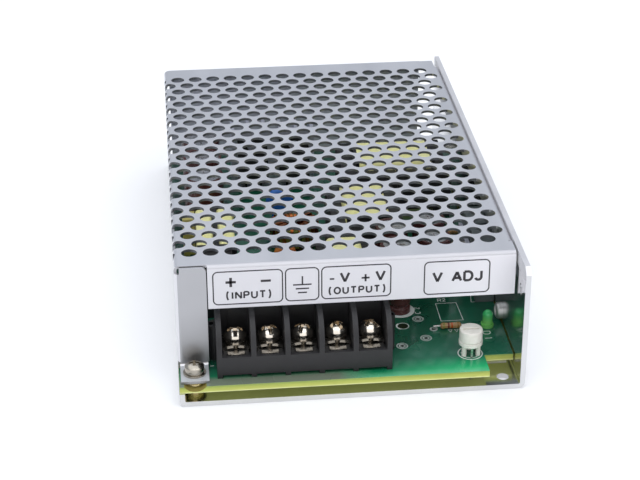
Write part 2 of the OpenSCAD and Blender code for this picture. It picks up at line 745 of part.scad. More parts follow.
module cover() {
  bend_z = top_z - bend_out;
  wall_z = left_edge_h + side_gap;
  tab_x = left_x + tab_w;
  lip_x = [tab_x + tab_slit, right_x - lip_side];
  foot_top = board_top + cover_t;
  tab_z = foot_top + foot_bend;
  tab_top = top_z - tab_slit;
  foot_x = [left_x + foot_inset, tab_x - foot_inset / 2];
  color(sheet) difference() {
    union() {
      // top
      translate([0, 0, top_z - cover_t]) linear_extrude(cover_t) {
        translate([left_x + bend_out, flat_y0])
          square([right_x - left_x - 2 * bend_out, flat_y1 - flat_y0]);
        translate([left_x + bend_out, front_y + cover_t + tab_slit])
          square([tab_w - bend_out, bend_out - cover_t - tab_slit]);
        translate([right_x - bend_out, flat_y0])
          square([bend_out - lip_side, flange_y0 - tab_slit - flat_y0]);
      }
      // left wall and its bend
      along_y(flat_y0, flat_y1) {
        translate([left_x, wall_z]) square([cover_t, bend_z - wall_z]);
        translate([left_x + bend_out, bend_z]) mirror([1, 0]) bend(cover_bend, cover_t, cover_t / 2);
      }
      along_y(flat_y1 - cover_t, rear_y)
        translate([left_x, wall_z]) square([cover_t, bend_z - corner_relief - wall_z]);
      // right flange
      along_y(flange_y0, flange_y1) {
        translate([right_x - bend_out, bend_z]) bend(cover_bend, cover_t, cover_t / 2);
        translate([right_x - cover_t, bend_z - flange_h]) square([cover_t, flange_h]);
      }
      // front lip
      along_x(lip_x[0], lip_x[1]) {
        translate([flat_y0, bend_z]) mirror([1, 0]) bend(cover_bend, cover_t, cover_t / 2);
        translate([front_y, lip_z]) square([cover_t, bend_z - lip_z]);
      }
      // corner tab, bent from the left wall
      translate([left_x + bend_out, flat_y0, tab_z]) linear_extrude(top_z - corner_relief - tab_z)
        rotate(180) bend(cover_bend, cover_t, cover_t / 2);
      along_y(front_y, front_y + cover_t) {
        translate([left_x + bend_out, tab_z]) square([tab_w - bend_out, tab_top - tab_round - tab_z]);
        translate([left_x + bend_out, tab_z]) square([tab_w - bend_out - tab_round, tab_top - tab_z]);
        translate([tab_x - tab_round, tab_top - tab_round]) circle(tab_round);
      }
      // foot, bent forward from the tab
      along_x(foot_x[0], foot_x[1]) {
        intersection() {
          translate([front_y - foot_bend, tab_z]) mirror([0, 1]) bend(foot_bend, cover_t, cover_t / 2);
          translate([front_y - foot_l, 0]) square([2 * foot_l, tab_z]);
        }
        translate([front_y - foot_l, board_top]) square([foot_l - foot_bend, cover_t]);
      }
      // rear panel
      along_x(left_x + max(bend_out, chassis_t + side_gap), right_in - rear_gap) {
        translate([flat_y1, bend_z]) bend(cover_bend, cover_t, cover_t / 2);
        translate([rear_in, chassis_t + rear_clear]) square([cover_t, bend_z - chassis_t - rear_clear]);
      }
    }
    vent_holes();
    translate([foot_screw[0], foot_screw[1], board_top - over])
      cylinder(d = screw_clear, h = cover_t + 2 * over);
    for (y = flange_screw_spots)
      hole_x(right_x - cover_t - over, y, flange_screw_z, screw_bore, cover_t + 2 * over);
  }
}

module insulating_sheet() {
  edge = chassis_out + 1;
  rear = board_screw_spots[0][1] - standoff_d;
  color("white") translate([0, 0, chassis_t]) linear_extrude(film_t) difference() {
    translate([left_x + edge, fy(film_front)]) square([case_w - 2 * edge, rear - fy(film_front)]);
    for (p = tap_spots) translate(p) circle(d = tap_d + 1);
  }
}

module standoff(p, top) {
  translate([p[0], p[1], chassis_t]) difference() {
    cylinder(d = standoff_d, h = top - chassis_t);
    translate([0, 0, over]) cylinder(d = screw_bore, h = top);
  }
}

module standoffs() {
  color(steel) {
    standoff(foot_screw, board_top);
    for (p = board_screw_spots) standoff(p, board_z);
  }
}

module flat_washer() {
  color(steel) translate([foot_screw[0], foot_screw[1], board_top + cover_t]) difference() {
    cylinder(d = flat_washer_d, h = flat_washer_t);
    translate([0, 0, -over]) cylinder(d = screw_clear, h = flat_washer_t + 2 * over);
  }
}

module spring_washer() {
  cut = 0.4;
  color(steel) translate([foot_screw[0], foot_screw[1], board_top + cover_t + flat_washer_t]) difference() {
    cylinder(d = spring_washer_d, h = spring_washer_t);
    translate([0, 0, -over]) cylinder(d = screw_clear, h = spring_washer_t + 2 * over);
    translate([0, -cut / 2, -over]) cube([spring_washer_d, cut, spring_washer_t + 2 * over]);
  }
}

module foot_screw() {
  z = board_top + cover_t + flat_washer_t + spring_washer_t;
  color(steel) translate([foot_screw[0], foot_screw[1], z]) pan_screw(z - chassis_t - 2 * over);
}

module board_screws() {
  color(steel) for (p = board_screw_spots) translate([p[0], p[1], board_top])
    pan_screw(board_top - chassis_t - 2 * over);
}

module cover_screws() {
  tip = 0.6;
  cross = [2.6, 0.7];
  color(steel) for (y = flange_screw_spots) translate([right_in + chassis_t, y, flange_screw_z])
    rotate([0, -90, 0])
    difference() {
      union() {
        cylinder(d1 = head_d - 0.1, d2 = screw_d, h = sink_h);
        cylinder(d = screw_d, h = chassis_t + side_gap + cover_t + tip);
      }
      for (a = [0, 90]) rotate(a) translate([-cross[0] / 2, -cross[1] / 2, -over])
        cube([cross[0], cross[1], over + sink_h / 2]);
    }
}

// Board

module board_outline() {
  difference() {
    union() {
      translate([board_x0, board_y0]) square([board_x1 - board_x0, board_y1 - board_y0]);
      translate([left_x + board_gap, board_y0])
        square([board_x0 - left_x, front_y - board_gap - board_y0]);
    }
    translate([right_in - notch_w, board_y0 - over])
      square([notch_w + over, fy(notch_l) - board_y0 + over]);
    translate(foot_screw) circle(d = foot_hole_d);
    for (p = board_screw_spots) translate(p) circle(d = screw_clear);
    for (i = [1 : cells]) translate([cell_x(i), block_y0 + leg_y]) circle(d = leg_hole_d);
    for (a = trim_angles) translate(trim_spot) rotate(a) translate([trim_post_r, 0])
      circle(d = lead_hole_d);
    for (s = [-1, 1]) translate(led_spot) translate([s * led_lead_x, 0]) circle(d = lead_hole_d);
    for (s = [-1, 1]) translate(res_spot) translate([s * res_span / 2, 0]) circle(d = lead_hole_d);
    for (p = test_pads) translate([right_in - p[0], fy(p[1])]) circle(d = lead_hole_d);
    translate([right_in - open_hole[0], fy(open_hole[1])]) circle(d = open_hole_d);
    for (p = small_spots, s = [-1, 1]) translate(p) translate([s * small_span / 2, 0])
      circle(d = lead_hole_d);
    for (s = [-1, 1]) translate(fuse_spot) translate([s * fuse_span / 2, 0]) circle(d = lead_hole_d);
  }
}

// The scoop under the cover's foot is a shallow arc, so that the standoff shows from the front
module board() {
  deep = board_t - scoop_rim;
  arc = (pow(scoop_w / 2, 2) + pow(deep, 2)) / (2 * deep);
  color([0.10, 0.45, 0.31]) translate([0, 0, board_z]) difference() {
    linear_extrude(board_t) board_outline();
    translate([foot_screw[0], foot_screw[1], scoop_rim + arc]) rotate([90, 0, 0])
      cylinder(r = arc, h = foot_screw[1] - board_y0 + over);
  }
}

// Terminal block

module barrier_side() {
  square([block_d, block_h - barrier_round]);
  translate([barrier_round, 0]) square([block_d - barrier_round, block_h]);
  intersection() {
    translate([barrier_round, block_h - barrier_round]) circle(barrier_round);
    translate([0, block_h - barrier_round]) square(barrier_round);
  }
}

module terminal_housing() {
  slot_fit = 0.2;
  color(charcoal) translate([0, block_y0, board_top]) difference() {
    union() {
      translate([block_x0, 0, block_foot]) cube([block_w, block_d, cell_floor - block_foot]);
      translate([block_x0, 0, block_foot]) cube([block_w, sill_t, sill_h - block_foot]);
      translate([block_x0, block_d - back_t, block_foot]) cube([block_w, back_t, block_h - block_foot]);
      for (i = [0 : cells]) along_x(block_x0 + i * cell_pitch, block_x0 + i * cell_pitch + barrier_t)
        barrier_side();
      for (x = [block_x0, block_x0 + block_w]) translate([x, ear_y, 0]) cylinder(r = ear_r, h = ear_h);
    }
    for (i = [1 : cells]) {
      translate([cell_x(i), term_y, block_foot + well_skin])
        cylinder(d = term_d + 2 * well_gap, h = cell_floor);
      translate([cell_x(i) - leg_w / 2 - slot_fit, leg_y - plate_t / 2 - slot_fit, 0])
        cube([leg_w + 2 * slot_fit, plate_t + 2 * slot_fit, cell_floor + over]);
    }
    for (s = [-1, 1])
      translate([s < 0 ? block_x0 - ear_r / 2 : block_x0 + block_w + ear_r / 2, ear_y, -over])
      cylinder(d = ear_hole_d, h = ear_h + 2 * over);
    // the cells stay open inside the ears' round backs
    for (x = [block_x0 + barrier_t, block_x0 + block_w - barrier_t - ear_r])
      translate([x, ear_y - ear_r, cell_floor]) cube([ear_r, 2 * ear_r, block_h]);
  }
}

module terminal_plates() {
  color([0.76, 0.72, 0.62]) for (i = [1 : cells]) translate([cell_x(i), block_y0, board_top]) difference() {
    union() {
      translate([-tongue_w / 2, tongue_front, cell_floor]) cube([tongue_w, tongue_l + over, plate_t]);
      translate([-plate_w / 2, tongue_front + tongue_l, cell_floor])
        cube([plate_w, plate_rear - tongue_front - tongue_l, plate_t]);
      translate([-leg_w / 2, plate_rear - plate_t, -board_t - lead_below])
        cube([leg_w, plate_t, cell_floor + plate_t + board_t + lead_below]);
    }
    translate([0, term_y, 0]) cylinder(d = term_d + 2 * thread_gap, h = plate_top + over);
  }
}

// Arched strip standing on its two long edges, in X and Z
module clamp_section() {
  r = (pow(clamp_w / 2, 2) + pow(clamp_arch, 2)) / (2 * clamp_arch);
  intersection() {
    difference() {
      translate([0, clamp_arch - r]) circle(r + clamp_t);
      translate([0, clamp_arch - r]) circle(r);
    }
    translate([-clamp_w / 2, 0]) square([clamp_w, 2 * clamp_top]);
  }
}

module clamp_plate(i) {
  hole_h = clamp_arch + clamp_t + 2 * over;
  color([0.78, 0.75, 0.68]) translate([cell_x(i), block_y0 + term_y, board_top + plate_top]) difference() {
    along_y(-clamp_l / 2, clamp_l / 2) clamp_section();
    translate([0, 0, -over]) cylinder(d = term_d + 2 * clamp_gap, h = hole_h);
    translate([0, -clamp_l / 2, -over]) linear_extrude(hole_h) rotate(45)
      square(clamp_notch / sqrt(2), center = true);
  }
}

module terminal_screw(i) {
  ball = (pow(term_head_d / 2, 2) + pow(term_dome_h, 2)) / (2 * term_dome_h);
  top = term_rim_h + term_dome_h;
  color(steel) translate([cell_x(i), block_y0 + term_y, board_top + clamp_top]) rotate(screw_turn[i - 1])
    difference() {
      union() {
        translate([0, 0, -term_l]) cylinder(d = term_d, h = term_l);
        cylinder(d = term_head_d, h = term_rim_h);
        intersection() {
          translate([0, 0, top - ball]) sphere(ball);
          translate([0, 0, term_rim_h]) cylinder(d = 2 * term_head_d, h = term_dome_h);
        }
      }
      translate([-term_slot_w / 2, -term_head_d, top - term_slot_h])
        cube([term_slot_w, 2 * term_head_d, top]);
      for (a = [0, 90]) rotate(a) translate([-term_cross_l / 2, -term_slot_w / 2, top - term_cross_h])
        cube([term_cross_l, term_slot_w, top]);
    }
}

// Trimmer, lamp and resistor

module trimmer_base() {
  color("ivory") translate([trim_spot[0], trim_spot[1], board_top]) {
    difference() {
      translate([0, 0, trim_lift]) cylinder(d = trim_base_d, h = trim_base_t);
      cylinder(d = pivot_d + 2 * pivot_gap, h = trim_lift + trim_base_t + over);
    }
    for (a = trim_angles) rotate(a + 60) translate([trim_post_r, 0, 0])
      cylinder(d = trim_post_d, h = trim_lift + trim_base_t / 2);
  }
}

module trimmer_pins() {
  pin = [0.5, 0.6];
  color(steel) for (a = trim_angles) translate([trim_spot[0], trim_spot[1], board_top]) rotate(a)
    translate([trim_post_r - pin[0] / 2, -pin[1] / 2, -board_t - lead_below])
      cube([pin[0], pin[1], trim_lift + board_t + lead_below]);
}

module trimmer_knob() {
  slot_l = 4.6;
  color("ivory") translate([trim_spot[0], trim_spot[1], board_top + trim_lift + trim_base_t + knob_gap]) {
    difference() {
      rotate_extrude() {
        square([knob_d / 2, knob_h - knob_round]);
        square([knob_d / 2 - knob_round, knob_h]);
        translate([knob_d / 2 - knob_round, knob_h - knob_round]) circle(knob_round);
      }
      translate([-slot_l / 2, -knob_slot_w / 2, knob_h - knob_slot_h]) cube([slot_l, knob_slot_w, knob_h]);
    }
    translate([0, 0, -knob_gap - trim_base_t]) cylinder(d = pivot_d, h = knob_gap + trim_base_t);
  }
}

module led() {
  rim_h = 1;
  color("palegreen") translate([led_spot[0], led_spot[1], board_top]) {
    difference() {
      cylinder(d = led_d + 2 * led_rim, h = rim_h);
      translate([led_d / 2 + led_rim / 2, -led_d, -over]) cube([led_d, 2 * led_d, rim_h + 2 * over]);
    }
    cylinder(d = led_d, h = led_h - led_d / 2);
    translate([0, 0, led_h - led_d / 2]) sphere(d = led_d);
  }
}

module led_leads() {
  wire = 0.5;
  h = board_t + lead_below;
  color(steel) for (s = [-1, 1])
    translate([led_spot[0] + s * led_lead_x - wire / 2, led_spot[1] - wire / 2, board_top - h])
    cube([wire, wire, h]);
}

module resistor() {
  color("tan") translate([res_spot[0], res_spot[1], board_top + res_d / 2]) difference() {
    axial_body(res_l, res_d);
    axial_leads(res_l, res_d, res_span);
  }
}

module resistor_leads() {
  color(steel) translate([res_spot[0], res_spot[1], board_top + res_d / 2])
    axial_leads(res_l, res_d, res_span);
}

// Wound parts, lying along X with the underside of the core on z = 0

// Size of a bobbin's tube and flange in Y and Z, and its length between the end bars of the core
function tube_size(size, legs) = [legs[2] + 2 * (wound_fit + tube_t), size[2] + 2 * (wound_fit + tube_t)];
function coil_size(size, legs) =
  [size[1] - 2 * (legs[0] + wound_fit), tube_size(size, legs)[1] + 2 * winding_build];
function bobbin_l(size, legs) = size[0] - 2 * (legs[1] + wound_fit);
function core_lift(size, legs) = (coil_size(size, legs)[1] - size[2]) / 2 + wound_fit;

module e_core(size, legs) {
  window = (size[1] - 2 * legs[0] - legs[2]) / 2;
  for (s = [0, 1]) mirror([s, 0, 0]) difference() {
    translate([core_gap / 2, -size[1] / 2, 0]) cube([(size[0] - core_gap) / 2, size[1], size[2]]);
    for (t = [-1, 1]) translate([-over, (t * (legs[2] + window) - window) / 2, -over])
      cube([size[0] / 2 - legs[1] + over, window, size[2] + 2 * over]);
  }
}

module e_bobbin(size, legs) {
  half = bobbin_l(size, legs) / 2;
  lift = core_lift(size, legs);
  coil = coil_size(size, legs);
  difference() {
    union() {
      along_x(-half, half) translate([0, size[2] / 2]) square(tube_size(size, legs), center = true);
      for (s = [0, 1]) mirror([s, 0, 0]) {
        along_x(half - bobbin_flange, half) translate([0, size[2] / 2]) square(coil, center = true);
        translate([half - bobbin_flange, -size[1] / 2, -lift])
          cube([size[0] / 2 - half + bobbin_flange, size[1], lift - wound_fit]);
      }
    }
    along_x(-size[0], size[0]) translate([0, size[2] / 2])
      square([legs[2], size[2]] + [2, 2] * wound_fit, center = true);
  }
}

module e_winding(size, legs) {
  corner = 1.5;
  half = bobbin_l(size, legs) / 2 - bobbin_flange - wound_fit;
  coil = coil_size(size, legs) - [2, 2] * wound_fit;
  along_x(-half, half) translate([0, size[2] / 2]) difference() {
    round_rect(coil[0], coil[1], corner);
    square(tube_size(size, legs) + [2, 2] * wound_fit, center = true);
  }
}

module on_board(spot, lift, turn = 0) {
  translate([spot[0], spot[1], board_top + lift]) rotate(turn) children();
}

module wound(spot, size, legs, turn = 0) {
  on_board(spot, core_lift(size, legs), turn) children();
}

module transformer_core() {
  color(ferrite) wound(transformer_spot, transformer_size, transformer_legs)
    e_core(transformer_size, transformer_legs);
}

module transformer_bobbin() {
  color(charcoal) wound(transformer_spot, transformer_size, transformer_legs)
    e_bobbin(transformer_size, transformer_legs);
}

module transformer_winding() {
  color(tape) wound(transformer_spot, transformer_size, transformer_legs)
    e_winding(transformer_size, transformer_legs);
}

module output_choke_core() {
  color(ferrite) wound(output_choke_spot, output_choke_size, output_choke_legs, 90)
    e_core(output_choke_size, output_choke_legs);
}

module output_choke_bobbin() {
  color(charcoal) wound(output_choke_spot, output_choke_size, output_choke_legs, 90)
    e_bobbin(output_choke_size, output_choke_legs);
}

module output_choke_winding() {
  color(tape) wound(output_choke_spot, output_choke_size, output_choke_legs, 90)
    e_winding(output_choke_size, output_choke_legs);
}

module filter_choke_core() {
  color(ferrite) wound(filter_choke_spot, filter_choke_size, filter_choke_legs, 90)
    e_core(filter_choke_size, filter_choke_legs);
}

module filter_choke_bobbin() {
  color(charcoal) wound(filter_choke_spot, filter_choke_size, filter_choke_legs, 90)
    e_bobbin(filter_choke_size, filter_choke_legs);
}

module filter_choke_winding() {
  color(tape) wound(filter_choke_spot, filter_choke_size, filter_choke_legs, 90)
    e_winding(filter_choke_size, filter_choke_legs);
}

// The input choke has a coil on each leg of a square ring, with a plate between the coils
input_leg_y = (input_choke_size[1] - input_choke_legs[0]) / 2;
input_coil = [input_coil_w, input_choke_size[2] + input_coil_w - input_choke_legs[0]];
input_half = input_choke_size[0] / 2 - input_choke_legs[1] - wound_fit;
input_plate_t = 2 * (input_leg_y - input_coil_w / 2 - wound_fit);
input_tube = [input_choke_legs[0], input_choke_size[2]] + [2, 2] * (wound_fit + tube_t);

module at_input_legs() {
  for (s = [-1, 1]) translate([s * input_leg_y, input_choke_size[2] / 2]) children();
}

module input_choke_core() {
  size = input_choke_size;
  color(ferrite) on_board(input_choke_spot, input_choke_lift, 90) for (s = [0, 1]) mirror([s, 0, 0])
    difference() {
    translate([core_gap / 2, -size[1] / 2, 0]) cube([(size[0] - core_gap) / 2, size[1], size[2]]);
    translate([-over, -size[1] / 2 + input_choke_legs[0], -over])
      cube([size[0] / 2 - input_choke_legs[1] + over, size[1] - 2 * input_choke_legs[0], size[2] + 2 * over]);
  }
}

module input_choke_bobbin() {
  proud = 0.5;
  flange = [2 * input_leg_y + input_coil_w, input_coil[1]] + [1, 1] * proud;
  half = input_half;
  color(charcoal) on_board(input_choke_spot, input_choke_lift, 90) difference() {
    union() {
      along_x(-half, half) at_input_legs() square(input_tube, center = true);
      along_x(-half, half) translate([0, input_choke_size[2] / 2])
        square([input_plate_t, flange[1]], center = true);
      for (s = [0, 1]) mirror([s, 0, 0]) {
        along_x(half - bobbin_flange, half) translate([0, input_choke_size[2] / 2])
          square(flange, center = true);
        translate([half - bobbin_flange, -flange[0] / 2, -input_choke_lift])
          cube([input_choke_size[0] / 2 - half + bobbin_flange, flange[0], input_choke_lift - wound_fit]);
      }
    }
    along_x(-2 * half, 2 * half) at_input_legs()
      square([input_choke_legs[0], input_choke_size[2]] + [2, 2] * wound_fit, center = true);
  }
}

module input_choke_winding() {
  corner = 1;
  half = input_half - bobbin_flange - wound_fit;
  color(tape) on_board(input_choke_spot, input_choke_lift, 90) along_x(-half, half) at_input_legs()
    difference() {
    round_rect(input_coil[0], input_coil[1], corner);
    square(input_tube + [2, 2] * wound_fit, center = true);
  }
}

module ring_core() {
  color("olive") on_board(ring_spot, ring_wire + wound_fit) rotate_extrude()
    translate([ring_bore / 2, 0]) square([(ring_d - ring_bore) / 2, ring_h]);
}

module ring_winding() {
  turn = [(ring_d - ring_bore) / 2, ring_h] + [2, 2] * wound_fit;
  color("peru") on_board(ring_spot, ring_wire + wound_fit) for (i = [0 : ring_turns - 1])
    rotate(i * 360 / ring_turns)
    translate([0, ring_wire / 2, 0]) rotate([90, 0, 0]) linear_extrude(ring_wire)
      translate([(ring_d + ring_bore) / 4, ring_h / 2]) difference() {
        round_rect(turn[0] + 2 * ring_wire, turn[1] + 2 * ring_wire, ring_wire);
        square(turn, center = true);
      }
}

// Capacitors

module film_capacitor() {
  foot = [2, 0.5];
  color("gold") on_board(film_cap_spot, 0) difference() {
    translate([-film_cap[0] / 2, -film_cap[1] / 2, 0]) cube(film_cap);
    translate([-film_cap[0] / 2 + foot[0], -film_cap[1], -over])
      cube([film_cap[0] - 2 * foot[0], 2 * film_cap[1], foot[1] + over]);
  }
}

module input_capacitors() {
  color("maroon") for (p = input_cap_spots) on_board(p, 0) round_cap(input_cap[0], input_cap[1]);
}

module front_capacitor() {
  color("maroon") on_board(front_cap_spot, 0) round_cap(front_cap[0], front_cap[1]);
}

module output_capacitors() {
  color("maroon") for (p = output_cap_spots) on_board(p, 0) round_cap(output_cap[0], output_cap[1]);
}

module disc_capacitors() {
  color("royalblue") for (p = disc_spots) on_board(p, 0) leaded_disc(disc_cap[0], disc_cap[1], disc_lift);
}

module dipped_capacitors() {
  color("orangered") for (p = dipped_spots) on_board(p, 0)
    leaded_disc(dipped_cap[0], dipped_cap[1], disc_lift);
}

// Power parts

module power_devices() {
  color(charcoal) for (y = device_spots) translate([right_x - cap_t - cap_fit, y, board_top])
    power_package();
}

module silicone_caps() {
  hollow = cap_t;
  color("dimgray") for (y = device_spots) translate([cap_x0, y - cap_w / 2, board_top]) difference() {
    cube([right_x - cap_x0, cap_w, cap_h]);
    translate([hollow, hollow, -over])
      cube([right_x - cap_x0 - 2 * hollow, cap_w - 2 * hollow, cap_h - hollow + over]);
  }
}

module clamp_bar() {
  l = device_pitch + device_w;
  color(steel) difference() {
    translate([bar_x0, bar_mid - l / 2, board_top + bar_z - bar_h / 2]) cube([bar_t, l, bar_h]);
    hole_x(bar_x0 - over, bar_mid, board_top + bar_z, screw_clear, bar_t + 2 * over);
  }
}

module clamp_screw() {
  color(steel) translate([bar_x0, bar_mid, board_top + bar_z]) rotate([0, -90, 0])
    pan_screw(right_in + chassis_t / 2 - bar_x0);
}

module heat_sink() {
  fin_pitch = (sink_size[0] - fin_t) / (fins - 1);
  color("lightgray") on_board(sink_spot, 0) linear_extrude(sink_size[2]) {
    translate([-sink_size[0] / 2, 0]) square([sink_size[0], sink_size[1]]);
    for (i = [0 : fins - 1]) translate([-sink_size[0] / 2 + i * fin_pitch, 0])
      square([fin_t, sink_size[1] + fin_l]);
  }
}

module sink_devices() {
  color(charcoal) for (s = [-1, 1]) on_board(sink_spot, 0, 90) translate([0, s * sink_size[0] / 4, 0])
    power_package();
}

// Small parts

module control_chips() {
  notch = 1.4;
  leg = [0.5, 0.3];
  leg_pitch = 2.54;
  color(charcoal) for (i = [0, 1]) on_board(chip_spots[i], 0) {
    l = chip_lengths[i];
    pairs = floor(l / leg_pitch);
    difference() {
      translate([-l / 2, -chip_w / 2, chip_lift]) cube([l, chip_w, chip_t]);
      translate([-l / 2, 0, chip_lift + chip_t / 2]) cylinder(d = notch, h = chip_t);
    }
    for (k = [0 : pairs - 1], s = [0, 1]) mirror([0, s, 0])
      translate([(k - (pairs - 1) / 2) * leg_pitch - leg[0] / 2, 0, 0]) {
        translate([0, chip_w / 2 - leg[1], chip_lift + chip_t / 2]) cube([leg[0], 4 * leg[1], leg[1]]);
        translate([0, chip_w / 2 + 2 * leg[1], 0]) cube([leg[0], leg[1], chip_lift + chip_t / 2 + leg[1]]);
      }
  }
}

module fuse() {
  color("tan") on_board(fuse_spot, fuse_size[1] / 2) {
    axial_body(fuse_size[0], fuse_size[1]);
    axial_leads(fuse_size[0], fuse_size[1], fuse_span);
  }
}

module small_resistors() {
  color("tan") for (p = small_spots) on_board(p, small_size[1] / 2) {
    axial_body(small_size[0], small_size[1]);
    axial_leads(small_size[0], small_size[1], small_span);
  }
}

chassis();
cover();
insulating_sheet();
standoffs();
clinch_nuts();
foot_screw();
spring_washer();
flat_washer();
board();
board_screws();
cover_screws();
terminal_housing();
terminal_plates();
for (i = [1 : cells]) clamp_plate(i);
for (i = [1 : cells]) terminal_screw(i);
trimmer_base();
trimmer_pins();
trimmer_knob();
led();
led_leads();
resistor();
resistor_leads();
transformer_core();
transformer_bobbin();
transformer_winding();
output_choke_core();
output_choke_bobbin();
output_choke_winding();
filter_choke_core();
filter_choke_bobbin();
filter_choke_winding();
input_choke_core();
input_choke_bobbin();
input_choke_winding();
ring_core();
ring_winding();
film_capacitor();
input_capacitors();
front_capacitor();
output_capacitors();
disc_capacitors();
dipped_capacitors();
power_devices();
silicone_caps();
clamp_bar();
clamp_screw();
heat_sink();
sink_devices();
control_chips();
fuse();
small_resistors();
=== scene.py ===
import json
import math

import bmesh
import bpy
from mathutils import Matrix, Vector


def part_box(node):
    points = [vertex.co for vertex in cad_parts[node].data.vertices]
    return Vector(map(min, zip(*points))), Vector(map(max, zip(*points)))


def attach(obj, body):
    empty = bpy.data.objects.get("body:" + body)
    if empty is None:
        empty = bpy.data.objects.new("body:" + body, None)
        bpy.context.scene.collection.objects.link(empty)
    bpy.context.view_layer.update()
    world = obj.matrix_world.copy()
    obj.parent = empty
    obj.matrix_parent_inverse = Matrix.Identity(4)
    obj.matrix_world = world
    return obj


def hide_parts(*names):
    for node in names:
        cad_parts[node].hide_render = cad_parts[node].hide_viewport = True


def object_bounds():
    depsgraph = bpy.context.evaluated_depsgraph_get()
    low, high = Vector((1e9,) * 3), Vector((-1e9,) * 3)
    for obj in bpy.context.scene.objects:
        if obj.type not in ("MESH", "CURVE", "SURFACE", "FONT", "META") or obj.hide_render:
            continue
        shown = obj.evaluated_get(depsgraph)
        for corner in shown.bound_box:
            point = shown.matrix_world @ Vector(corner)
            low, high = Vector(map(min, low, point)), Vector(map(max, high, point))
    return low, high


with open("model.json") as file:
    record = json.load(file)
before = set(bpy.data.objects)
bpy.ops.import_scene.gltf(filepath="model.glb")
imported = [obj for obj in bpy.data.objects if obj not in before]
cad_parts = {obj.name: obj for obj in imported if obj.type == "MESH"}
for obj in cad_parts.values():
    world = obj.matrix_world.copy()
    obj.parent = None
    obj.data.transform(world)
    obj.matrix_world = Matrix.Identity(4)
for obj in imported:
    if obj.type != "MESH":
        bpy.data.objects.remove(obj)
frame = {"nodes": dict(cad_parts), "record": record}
cadLow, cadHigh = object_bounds()
nodes = frame["nodes"]
scene = bpy.context.scene
mm = 0.001
bodyOf = {n: b for b, names in frame["record"]["behaviour"]["bodies"].items() for n in names}
print("frame loaded,", len(nodes), "nodes")


def addNode(tree, kind, inputs=None, **settings):
    node = tree.nodes.new(kind)
    for name, value in settings.items():
        setattr(node, name, value)
    for key, value in (inputs or {}).items():
        if isinstance(value, bpy.types.NodeSocket):
            tree.links.new(value, node.inputs[key])
        else:
            node.inputs[key].default_value = value
    return node


def tone(red, green, blue):  # screen values 0 to 255, as a linear colour
    def straight(c):
        c /= 255
        return c / 12.92 if c < 0.04 else ((c + 0.055) / 1.055) ** 2.4
    return (straight(red), straight(green), straight(blue), 1.0)


def newFinish(name, **sockets):
    finish = bpy.data.materials.new(name)
    finish.use_nodes = True
    shader = finish.node_tree.nodes["Principled BSDF"]
    for key, value in sockets.items():
        shader.inputs[key].default_value = value
    return finish, finish.node_tree, shader


def objectPlace(tree, scale=(1, 1, 1), turn=(0, 0, 0)):
    place = addNode(tree, "ShaderNodeTexCoord").outputs["Object"]
    return addNode(tree, "ShaderNodeMapping", {
        "Vector": place, "Rotation": turn, "Scale": scale}).outputs["Vector"]


def axes(tree, place):
    return addNode(tree, "ShaderNodeSeparateXYZ", {"Vector": place}).outputs


def noise(tree, place, scale, **sockets):
    return addNode(tree, "ShaderNodeTexNoise", {"Vector": place, "Scale": scale, **sockets}).outputs["Fac"]


def multiply(tree, first, second):
    return addNode(tree, "ShaderNodeMath", {0: first, 1: second}, operation="MULTIPLY").outputs[0]


def mixNumber(tree, factor, first, second):
    return addNode(tree, "ShaderNodeMix", {0: factor, 2: first, 3: second}).outputs[0]


def mixColour(tree, factor, first, second):
    return addNode(tree, "ShaderNodeMix", {0: factor, 6: first, 7: second}, data_type="RGBA").outputs[2]


def ramp(tree, factor, stops, steps="LINEAR"):
    node = addNode(tree, "ShaderNodeValToRGB", {"Fac": factor})
    node.color_ramp.interpolation = steps
    while len(node.color_ramp.elements) < len(stops):
        node.color_ramp.elements.new(0.5)
    for element, (place, colour) in zip(node.color_ramp.elements, stops):
        element.position = place
        element.color = colour
    return node.outputs["Color"]


def spread(tree, value, low, high, fromLow=0.0, fromHigh=1.0):
    return addNode(tree, "ShaderNodeMapRange", {
        "Value": value, "From Min": fromLow, "From Max": fromHigh,
        "To Min": low, "To Max": high}).outputs["Result"]


def over(tree, value, span, start=0.0, stop=1.0):  # from start to stop over a span in mm
    return spread(tree, value, start, stop, span[0] * mm, span[1] * mm)


cloudSpan = (0.3, 0.7)  # where cloudy noise turns from the dark tone to the light one


def twoTone(tree, cloud, dark, light):
    return ramp(tree, cloud, [(cloudSpan[0], dark), (cloudSpan[1], light)])


def feed(tree, shader, colour, rough):
    tree.links.new(colour, shader.inputs["Base Color"])
    tree.links.new(rough, shader.inputs["Roughness"])


def roughBump(tree, shader, height, depth, strength):  # depth in mm
    bump = addNode(tree, "ShaderNodeBump", {"Height": height, "Strength": strength, "Distance": depth * mm})
    tree.links.new(bump.outputs["Normal"], shader.inputs["Normal"])


# a finish with cloudy tone, uneven gloss and a fine grain
def grainFinish(name, dark, light, look, **sockets):
    finish, tree, shader = newFinish(name, **sockets)
    place = objectPlace(tree, look.get("stretch", (1, 1, 1)))
    cloud = noise(tree, place, look["cloud"], Detail=4.0, Roughness=0.6)
    grain = noise(tree, place, look["grain"], Detail=3.0, Roughness=0.5)
    feed(tree, shader, twoTone(tree, cloud, dark, light), spread(tree, cloud, *look["rough"], *cloudSpan))
    roughBump(tree, shader, grain, look["depth"], strength=0.5)
    return finish


